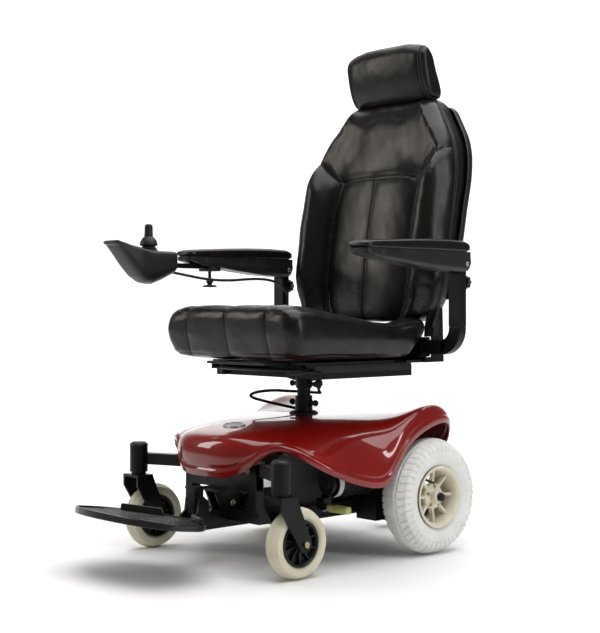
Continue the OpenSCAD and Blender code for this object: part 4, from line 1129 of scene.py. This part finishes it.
def make_lead(name, route):
    path = [at(*p) for p in through(route, 8)]
    obj = sweep(name, path, LEAD_R, "lead_black", 14)
    return obj


def make_leads():
    """The leads between the base, the seat, the right arm and the pod."""
    plug = make_connector()
    main = make_lead("base_lead", MAIN_ROUTE)
    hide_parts("main_lead")
    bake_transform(main)
    seat = make_lead("seat_frame_lead", SEAT_ROUTE)
    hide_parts("seat_lead")
    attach(seat, "seat_mount")
    arm = make_lead("arm_lead", ARM_ROUTE)
    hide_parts("joystick_lead")
    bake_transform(arm)
    pod = make_lead("pod_lead", POD_ROUTE)
    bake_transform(pod)


def make_connector():
    """Round locking connector between the base's lead and the seat's."""
    outline = [(3.6, 374), (5.4, 375), (6.2, 380), (8.6, 381), (9.2, 383), (9.2, 390), (8.4, 392), (7.0, 393),
               (6.6, 399), (5.2, 400.5), (3.6, 401)]
    obj = lathe("lead_plug", outline, at(24, -138, 0), "Z", "plastic_charcoal", 40, True)
    place(sharp_smooth(obj, 35), "seat_mount", "lead_black", "lead_connector")
    return obj


for side, s in SIDES:
    make_motor_details(side, s)
    make_release_sleeve(side, s)
    make_arm_pad(side, s)
    make_arm_panel(side, s)
    make_arm_knob(side, s)
make_frame_bolts()
make_footplate()
make_pod()
make_stick()
make_arm_clamp()
make_leads()


# ---- upholstery


def remesh(obj, size):
    """Even quads over a closed shape, so that cloth behaves the same everywhere."""
    m = obj.modifiers.new("remesh", "REMESH")
    m.mode = "VOXEL"
    m.voxel_size = size * MM
    m.use_smooth_shade = True
    return apply_modifiers(obj)


def coordinates(obj):
    co = np.empty(len(obj.data.vertices) * 3, np.float32)
    obj.data.vertices.foreach_get("co", co)
    return co.reshape(-1, 3).astype(float)


def set_coordinates(obj, co):
    obj.data.vertices.foreach_set("co", np.ascontiguousarray(co, np.float32).ravel())
    obj.data.update()


def vertex_normals(obj):
    out = np.empty(len(obj.data.vertices) * 3, np.float32)
    obj.data.vertex_normals.foreach_get("vector", out)
    return out.reshape(-1, 3).astype(float)


def on_surface(surface, path, lift=0.0):
    """A path moved onto a surface, and off it again by a lift in mm."""
    out = []
    for p in path:
        hit, normal, _, _ = surface.find_nearest(Vector(p))
        out.append(hit + normal * lift * MM)
    return out


def seam_path(points, steps=10):
    """A fine line through points given in millimetres."""
    return [at(*p) for p in through(points, steps)]


def both_sides(points):
    """The line as given and its mirror image in the chair's middle plane."""
    return [points, [(-x, y, z) for x, y, z in points]]


def neighbour_mean(obj, values, rounds):
    """Evens out a value per vertex over the mesh's edges."""
    ends = np.empty(len(obj.data.edges) * 2, np.int32)
    obj.data.edges.foreach_get("vertices", ends)
    a, b = ends.reshape(-1, 2).T
    count = np.bincount(ends, minlength=len(values))[:, None]
    for _ in range(rounds):
        total = np.zeros_like(values)
        np.add.at(total, a, values[b])
        np.add.at(total, b, values[a])
        values = 0.4 * values + 0.6 * total / count
    return values


CLOTH_FRAMES = 20


def inflate(obj, seams, cap, pressure=4.0, hold=4.0):
    """Fills a cushion with air while its seams are held, then limits how far it may swell."""
    rest = coordinates(obj)
    near = seam_distance(rest, seams)[0]
    pins = obj.vertex_groups.new(name="seams")
    for i in np.nonzero(near < hold * MM)[0]:
        pins.add([int(i)], 1.0, "REPLACE")
    cloth = obj.modifiers.new("cloth", "CLOTH")
    settings = cloth.settings
    values = {"quality": 5, "mass": 0.25, "tension_stiffness": 18, "compression_stiffness": 12,
              "shear_stiffness": 8, "bending_stiffness": 0.6, "use_pressure": True,
              "uniform_pressure_force": pressure, "vertex_group_mass": pins.name}
    for key, value in values.items():
        setattr(settings, key, value)
    settings.effector_weights.gravity = 0
    cloth.collision_settings.use_collision = False
    cloth.point_cache.frame_start = 1
    cloth.point_cache.frame_end = CLOTH_FRAMES
    for f in range(1, CLOTH_FRAMES + 1):
        scene.frame_set(f)
    apply_modifiers(obj)
    scene.frame_set(1)
    move = neighbour_mean(obj, coordinates(obj) - rest, 8)
    length = np.linalg.norm(move, axis=1)[:, None] + 1e-12
    set_coordinates(obj, rest + move / length * cap * MM * np.tanh(length / (cap * MM)))
    obj.vertex_groups.clear()
    return obj


def seam_distance(co, seams):
    """Distance from each point to the nearest seam and that seam's number."""
    points, owner = [], []
    for k, path in enumerate(seams):
        p = np.array([tuple(q) for q in path])
        run = run_length(p)
        t = np.linspace(0, run[-1], max(int(run[-1] / 0.0015), 2))
        points.append(resample(p, run, t))
        owner += [k] * len(t)
    points = np.concatenate(points)
    tree = KDTree(len(points))
    for i, p in enumerate(points):
        tree.insert(p, i)
    tree.balance()
    found = [tree.find(p)[1:] for p in co]
    distance = np.array([f[1] for f in found])
    return distance, np.array([owner[f[0]] for f in found])


def groove(obj, seams, depth=3.0, width=3.2, valley=2.5, valley_width=13.0):
    """Sinks narrow stitched seams, each in a wider soft valley, into a cushion."""
    co, normal = coordinates(obj), vertex_normals(obj)
    distance = seam_distance(co, seams)[0] / MM
    sink = depth * np.exp(-(distance / width) ** 2) + valley * np.exp(-(distance / valley_width) ** 2)
    set_coordinates(obj, co - normal * (sink * MM)[:, None])
    return obj


def wrinkle(obj, seed, size, height, stretch=(1, 1, 1), mask=None):
    """Low, soft folds from a few sine waves of mixed directions."""
    rng = np.random.default_rng(seed)
    co, normal = coordinates(obj), vertex_normals(obj)
    total = np.zeros(len(co))
    for _ in range(14):
        direction = rng.normal(size=3) * np.array(stretch)
        direction /= np.linalg.norm(direction)
        wave = rng.uniform(0.6, 1.8) * 2 * math.pi / (size * MM)
        total += np.sin(co @ direction * wave + rng.uniform(0, 2 * math.pi)) / 14**0.5
    if mask is not None:
        total = total * mask(co)
    set_coordinates(obj, co + normal * (total * height * MM)[:, None])
    return obj


def subdivide(obj, levels=1):
    m = obj.modifiers.new("smooth", "SUBSURF")
    m.levels = levels
    m.render_levels = levels
    return apply_modifiers(obj)


def stitches(name, surface, path, body, gap=7.0, length=4.6, offset=0.0, radius=0.55):
    """A row of separate thread stitches laid along a path on a surface."""
    p = np.array([tuple(q) for q in path])
    run = run_length(p)
    parts = []
    for start in np.arange(3, run[-1] / MM - gap, gap):
        ends = []
        for u in np.linspace(start, start + length, 4):
            q = Vector(resample(p, run, u * MM))
            ahead = Vector(resample(p, run, u * MM + 0.002))
            hit, normal, _, _ = surface.find_nearest(q)
            across = normal.cross(ahead - q).normalized()
            hit, normal, _, _ = surface.find_nearest(hit + across * offset * MM)
            ends.append(hit + normal * (0.35 - 0.5 * abs(u - start - length / 2) / length) * MM)
        parts.append(sweep("stitch", ends, radius, THREAD, 5))
    return place(join(name, parts), body, "vinyl_black")


def loft(name, rings, material):
    """Closed skin through rings of equal length, with both ends filled."""
    count = len(rings[0])
    verts = [p for ring in rings for p in ring]
    faces = grid_faces(len(rings), count, False, True)
    for row in (0, len(rings) - 1):
        centre = sum(rings[row], Vector()) / count
        verts.append(centre)
        hub = len(verts) - 1
        faces += [(row * count + k, row * count + (k + 1) % count, hub) for k in range(count)]
    return tidy(make_object(name, verts, faces, material))


def round_in(d, radius):
    """How far a rounded edge draws in at a distance d from the end."""
    if d >= radius:
        return 0.0
    t = 1 - max(d, 0) / radius
    return radius * (1 - math.sqrt(max(1 - t * t, 0)))


SEAT_CREST = [(-412, 566), (-372, 573), (-340, 571), (-300, 566), (-219, 553), (-140, 539), (-60, 531),
              (-20, 543), (16, 558)]
SEAT_MIDDLE = [(-412, 566), (-372, 571), (-322, 559), (-219, 537), (-140, 522), (-31, 515), (16, 525)]


def seat_ring(y, d_front, d_rear):
    """Section across the seat, raised at both sides and dished in the middle."""
    z_crest, z_mid = read(SEAT_CREST, y), read(SEAT_MIDDLE, y)
    half = 227 - round_in(d_front, 30) - round_in(d_rear, 40)
    drop_top = 1.0 * round_in(d_front, 24) + 0.7 * round_in(d_rear, 24)
    low = 446 + 5 * float(smoothstep(-100, -400, y))
    low = low + 0.6 * round_in(d_front, 22) + 0.6 * round_in(d_rear, 16)
    middle_z = (490 + low) / 2
    ring = []
    for c, d in [squircle(a, 6.0) for a in angles(96)]:
        side = float(smoothstep(0.42, 0.78, abs(c)))
        top = z_mid + (z_crest - z_mid) * side - drop_top
        z = middle_z + d * ((top - middle_z) if d > 0 else (middle_z - low))
        taper = 14 * float(smoothstep(500, 450, z))
        lean = 14 * float(smoothstep(520, 452, z)) * float(smoothstep(80, 0, d_front))
        lean += float(smoothstep(70, 0, d_rear)) * (50 * float(smoothstep(446, 530, z)) - 22)
        ring.append(at(c * (half - taper), y + lean, z))
    return ring


def make_seat_cushion():
    """Seat filled with air between its seams: three across the front, a crest and a hem."""
    front, rear = -408, 12
    rings = [seat_ring(y, y - front, rear - y) for y in stations(front, rear, 46, 40, 10, 48, 10)]
    seat = loft("seat_upholstery", rings, "vinyl_black")
    remesh(seat, 6.5)
    cover = surface_of(seat)
    front_seams = []
    for x in (-138, 0, 138):
        front_seams.append([(x, -400, 448), (x, -408, 480), (x, -412, 520), (x, -408, 550), (x, -392, 566),
                            (x, -350, 568), (x, -300, 556), (x, -219, 538), (x, -140, 523), (x, -40, 512),
                            (x, 14, 500)])
    crest = [(138, -410, 545), (170, -402, 552), (198, -368, 562), (206, -314, 566), (207, -219, 554),
             (206, -140, 540), (204, -40, 527), (198, 10, 515)]
    hem = [(0, -404, 452), (170, -402, 452), (212, -372, 450), (222, -300, 448), (222, -100, 446),
           (216, -10, 446), (180, 10, 446), (0, 14, 446)]
    lines = front_seams + both_sides(crest) + both_sides(hem)
    seams = [on_surface(cover, seam_path(line)) for line in lines]
    inflate(seat, seams, 5.0, 3.0)
    subdivide(seat)
    cover = surface_of(seat)
    seams = [on_surface(cover, path) for path in seams]
    groove(seat, seams[:3], 2.2, 2.4, 1.2, 14)
    groove(seat, seams[3:5], 1.6, 2.4, 0.8, 10)
    groove(seat, seams[5:], 2.0, 4.0, 0.0, 10)
    wrinkle(seat, 11, 120, 0.7)
    wrinkle(seat, 12, 40, 0.15, (1, 1, 1.6))
    place(seat, "seat", "vinyl_black", "seat_cushion")
    cover = surface_of(seat)
    for k, path in enumerate(seams[3:5]):
        for j, offset in enumerate((-4.6, 4.6)):
            stitches(f"seat_stitches_{k}{j}", cover, path, "seat", offset=offset)


BACK_HALF = [(528, 184), (540, 200), (556, 212), (574, 222), (592, 229), (612, 234), (640, 237), (680, 238),
             (760, 239), (870, 237), (925, 228), (972, 209), (1016, 177), (1051, 152), (1081, 130)]
BACK_FRONT = [(528, 34), (559, 35), (650, 41), (732, 51), (800, 63), (881, 79), (960, 93), (1030, 106),
              (1063, 114), (1081, 124)]
BACK_EDGE = [(528, 56), (559, 59), (650, 70), (724, 83), (883, 112), (942, 125), (1010, 142), (1063, 156),
             (1081, 162)]
BACK_REAR = [(528, 86), (545, 95), (562, 100), (600, 105), (700, 118), (800, 138), (900, 164), (1000, 193),
             (1060, 207), (1081, 212)]


def soft_read(table, z):
    """A table read smoothly, as an average over a few centimetres."""
    return sum(read(table, z + dz) * w for dz, w in ((-24, 1), (-12, 2), (0, 3), (12, 2), (24, 1))) / 9


def bolster_strength(x, z):
    """How much of the bolster's height is left: it ends at the slanting shoulder seam."""
    seam_z = 881 + 0.73 * max(x - 126, 0)
    return float(smoothstep(seam_z + 30, seam_z - 60, z)) * (0.8 + 0.2 * float(smoothstep(560, 640, z)))


def back_section(z, d_low, d_top):
    """Half section from the middle of the front round to the middle of the rear, in mm."""
    half = read(BACK_HALF, z) if z > 1060 or z < 590 else soft_read(BACK_HALF, z)
    front, edge, rear = soft_read(BACK_FRONT, z), soft_read(BACK_EDGE, z), soft_read(BACK_REAR, z)
    scale = min(half / 235, 1.0)
    seam = front + 9 * float(smoothstep(960, 880, z))
    draw = round_in(d_low, 22) + round_in(d_top, 26)
    front, seam, welt = front + 0.9 * draw, seam + 0.9 * draw, edge + 0.3 * draw
    rear -= 0.5 * draw
    half -= 0.5 * draw
    points = [(0, front), (45 * scale, front), (92 * scale, front + 2)]
    crowns = [(124 * scale, seam, -2, 1), (138 * scale, seam, 1, 1), (156 * scale, seam, -24, 0),
              (176 * scale, seam, -44, -2), (194 * scale, seam, -50, -4), (half - 22, seam, -42, -6),
              (half - 8, (seam + welt) / 2, -22, -14)]
    for x, y, full, flat in crowns:
        strength = bolster_strength(x, z)
        points.append((x, y + full * strength + flat * (1 - strength)))
    points += [(half - 1.5, welt - 15), (half, welt), (half, welt + 14),
               (half - 0.5, (welt + rear) / 2 + 4), (half - 3, rear - 8), (half - 14, rear),
               (half * 0.6, rear), (0, rear)]
    return points


def make_back_cushion():
    """Backrest with side bolsters, a panelled middle, a piped edge and creases at its foot."""
    low, top = 528, 1081
    rings = []
    for z in stations(low, top, 22, 26, 7, 66, 8):
        half = through(back_section(z, z - low, top - z), 4)
        right = [at(x, y, z) for x, y in half]
        left = [at(-x, y, z) for x, y in half[-2:0:-1]]
        rings.append(right + left)
    back = loft("back_upholstery", rings, "vinyl_black")
    remesh(back, 6.5)
    cover = surface_of(back)
    side = [(137, 40, 532), (138, 40, 566), (139, 42, 600), (139, 48, 650), (138, 58, 732), (135, 72, 810),
            (130, 88, 870), (126, 90, 881)]
    across = [(-126, 90, 881), (-112, 84, 886), (-60, 78, 888), (0, 77, 888), (60, 78, 888), (112, 84, 886),
              (126, 90, 881)]
    middle = [(0, 32, 532), (0, 34, 566), (0, 42, 650), (0, 50, 732), (0, 64, 810), (0, 78, 888)]
    shoulder = [(126, 90, 881), (156, 80, 903), (186, 80, 925), (211, 92, 944), (224, 116, 951)]
    edge = [(read(BACK_HALF, z) - (1 if z < 1060 else 4), read(BACK_EDGE, z), z)
            for z in (548, 590, 640, 724, 800, 883, 942, 990, 1030, 1060)]
    edge += [(126, 160, 1076), (104, 161, 1082), (50, 161, 1083), (0, 161, 1083)]
    lines = both_sides(side) + [across, middle] + both_sides(shoulder) + both_sides(edge)
    seams = [on_surface(cover, seam_path(line)) for line in lines]
    inflate(back, seams, 5.0, 3.0)
    subdivide(back)
    cover = surface_of(back)
    seams = [on_surface(cover, path) for path in seams]
    groove(back, seams[:3], 2.8, 2.6, 2.6, 14)
    groove(back, seams[3:4], 1.8, 2.4, 0.8, 12)
    groove(back, seams[4:6], 2.2, 2.6, 2.0, 13)
    groove(back, seams[6:], 2.0, 4.2, 0.0, 10)
    folds = []
    for points in ([(150, 10, 640), (176, -6, 612), (204, 0, 596)],
                   [(146, 20, 610), (176, 0, 590), (206, 8, 580)],
                   [(160, 0, 668), (188, -6, 640), (214, 10, 622)],
                   [(196, -2, 650), (214, 8, 628), (228, 30, 618)]):
        folds += [on_surface(cover, seam_path(line)) for line in both_sides(points)]
    groove(back, folds, 1.1, 7.0, 0.0, 10)
    wrinkle(back, 21, 130, 0.7)
    wrinkle(back, 22, 44, 0.15, (1, 1, 0.6))
    place(back, "backrest", "vinyl_black", "back_cushion")
    cover = surface_of(back)
    piping = []
    for path in seams[6:]:
        for shift in (-3.4, 3.4):
            moved = [p + Vector((0, shift * MM, 0)) for p in path]
            laid = smooth_path(on_surface(cover, moved, 0.6), 6)
            piping.append(sweep("piping", laid, 2.3, PIPING, 10))
    place(join("back_piping", piping), "backrest", "vinyl_black")
    for k, path in enumerate(seams[4:6]):
        stitches(f"shoulder_stitches_{k}", cover, path, "backrest", offset=-3.8)


def smooth_path(path, rounds, closed=False):
    """Evens out a laid path without moving its ends."""
    p = np.array([tuple(q) for q in path])
    for _ in range(rounds):
        if closed:
            p = (np.roll(p, 1, 0) + 2 * p + np.roll(p, -1, 0)) / 4
        else:
            p[1:-1] = (p[:-2] + 2 * p[1:-1] + p[2:]) / 4
    return p


HEAD_SECTION = [(138, 1080), (121, 1110), (111, 1148), (107, 1186), (113, 1206), (120, 1215), (129, 1217),
                (139, 1207), (155, 1180), (170, 1142), (181, 1104), (184, 1084), (176, 1077), (156, 1075)]


def head_ring(x, d, count=72):
    """Section of the headrest at a distance d from its nearer end."""
    section = through(HEAD_SECTION, 12, True)
    centre = np.array([141.0, 1146.0])
    wrapped = np.vstack([section, section[:1]])
    run = run_length(wrapped)
    ring = resample(wrapped, run, np.linspace(0, run[-1], count, endpoint=False))
    draw = round_in(d, 20)
    offset = ring - centre
    length = np.linalg.norm(offset, axis=1)[:, None]
    ring = centre + offset * (1 - draw / np.maximum(length, 30))
    belly = 1 - (x / 136) ** 2
    tall = np.sin(np.pi * np.clip((ring[:, 1] - 1078) / 136, 0, 1))
    forward = smoothstep(165, 120, ring[:, 0]) * (belly * 7 + tall * 3)
    fall = float(smoothstep(60, 134, abs(x))) * 9 * smoothstep(1170, 1214, ring[:, 1])
    return [at(x, y - f, z - g) for (y, z), f, g in zip(ring, forward, fall)]


def make_headrest():
    """Headrest with a piped panel at each end."""
    half = 134
    rings = [head_ring(x, half - abs(x)) for x in stations(-half, half, 20, 20, 8, 40, 8)]
    head = loft("headrest_upholstery", rings, "vinyl_black")
    remesh(head, 5.0)
    cover = surface_of(head)
    loops = []
    for s in (1, -1):
        ring = [Vector((s * 121 * MM, p.y, p.z)) for p in head_ring(121, 40, 96)]
        loops.append(on_surface(cover, ring + ring[:1]))
    inflate(head, loops, 5.0, 3.0)
    subdivide(head)
    cover = surface_of(head)
    loops = [on_surface(cover, loop) for loop in loops]
    groove(head, loops, 2.2, 3.0, 2.0, 9)
    wrinkle(head, 31, 100, 0.5)
    wrinkle(head, 32, 34, 0.12)
    place(head, "head", "vinyl_black", "headrest")
    cover = surface_of(head)
    piping = []
    for loop in loops:
        for shift in (-2.6, 2.6):
            moved = [p + Vector((shift * MM * (1 if p.x > 0 else -1), 0, 0)) for p in loop[:-1]]
            laid = smooth_path(on_surface(cover, moved, 0.5), 5, True)
            piping.append(sweep("piping", laid, 2.0, PIPING, 10, True))
    place(join("headrest_piping", piping), "head", "vinyl_black")


def make_back_shell():
    """Thin moulded shell behind the cushion, with a rolled edge and two lugs for the hinge pins."""
    low, top = 584, 1060
    rings = []
    for z in stations(low, top, 12, 18, 4, 50, 6):
        draw = round_in(z - low, 12) + round_in(top - z, 18)
        half = soft_read(BACK_HALF, z) + 0.5 - 0.6 * draw
        rear = soft_read(BACK_REAR, z) + 22 - 0.3 * draw
        outer = [(0, rear), (half * 0.6, rear), (half - 26, rear - 1), (half - 8, rear - 6),
                 (half, rear - 15), (half + 0.5, rear - 28), (half - 2, rear - 30)]
        inner = [(half - 5, rear - 17), (half - 12, rear - 10), (half - 27, rear - 5), (half * 0.6, rear - 4),
                 (0, rear - 4)]
        points = np.concatenate([through(outer, 4), through(inner, 4)])
        rings.append([at(x, y, z) for x, y in points] + [at(-x, y, z) for x, y in points[-2:0:-1]])
    parts = [loft("shell", rings, "plastic_charcoal")]
    for s in (1, -1):
        lug = [(7.1, 196 * s), (17, 196 * s), (17, 205.4 * s), (7.1, 205.4 * s)]
        parts.append(lathe("lug", lug, at(0, 65, 583), "X", "plastic_charcoal", 48, True))
        web = [(74, 592), (118, 588), (118, 605), (72, 605)]
        rings = [[at(x * s, y, z) for y, z in web] for x in (196, 205.4)]
        parts.append(skin("web", rings, "plastic_charcoal"))
    shell = join("back_shell_moulding", parts)
    place(sharp_smooth(shell, 40), "backrest", "plastic_charcoal", "back_shell")


make_seat_cushion()
make_back_cushion()
make_headrest()
make_back_shell()
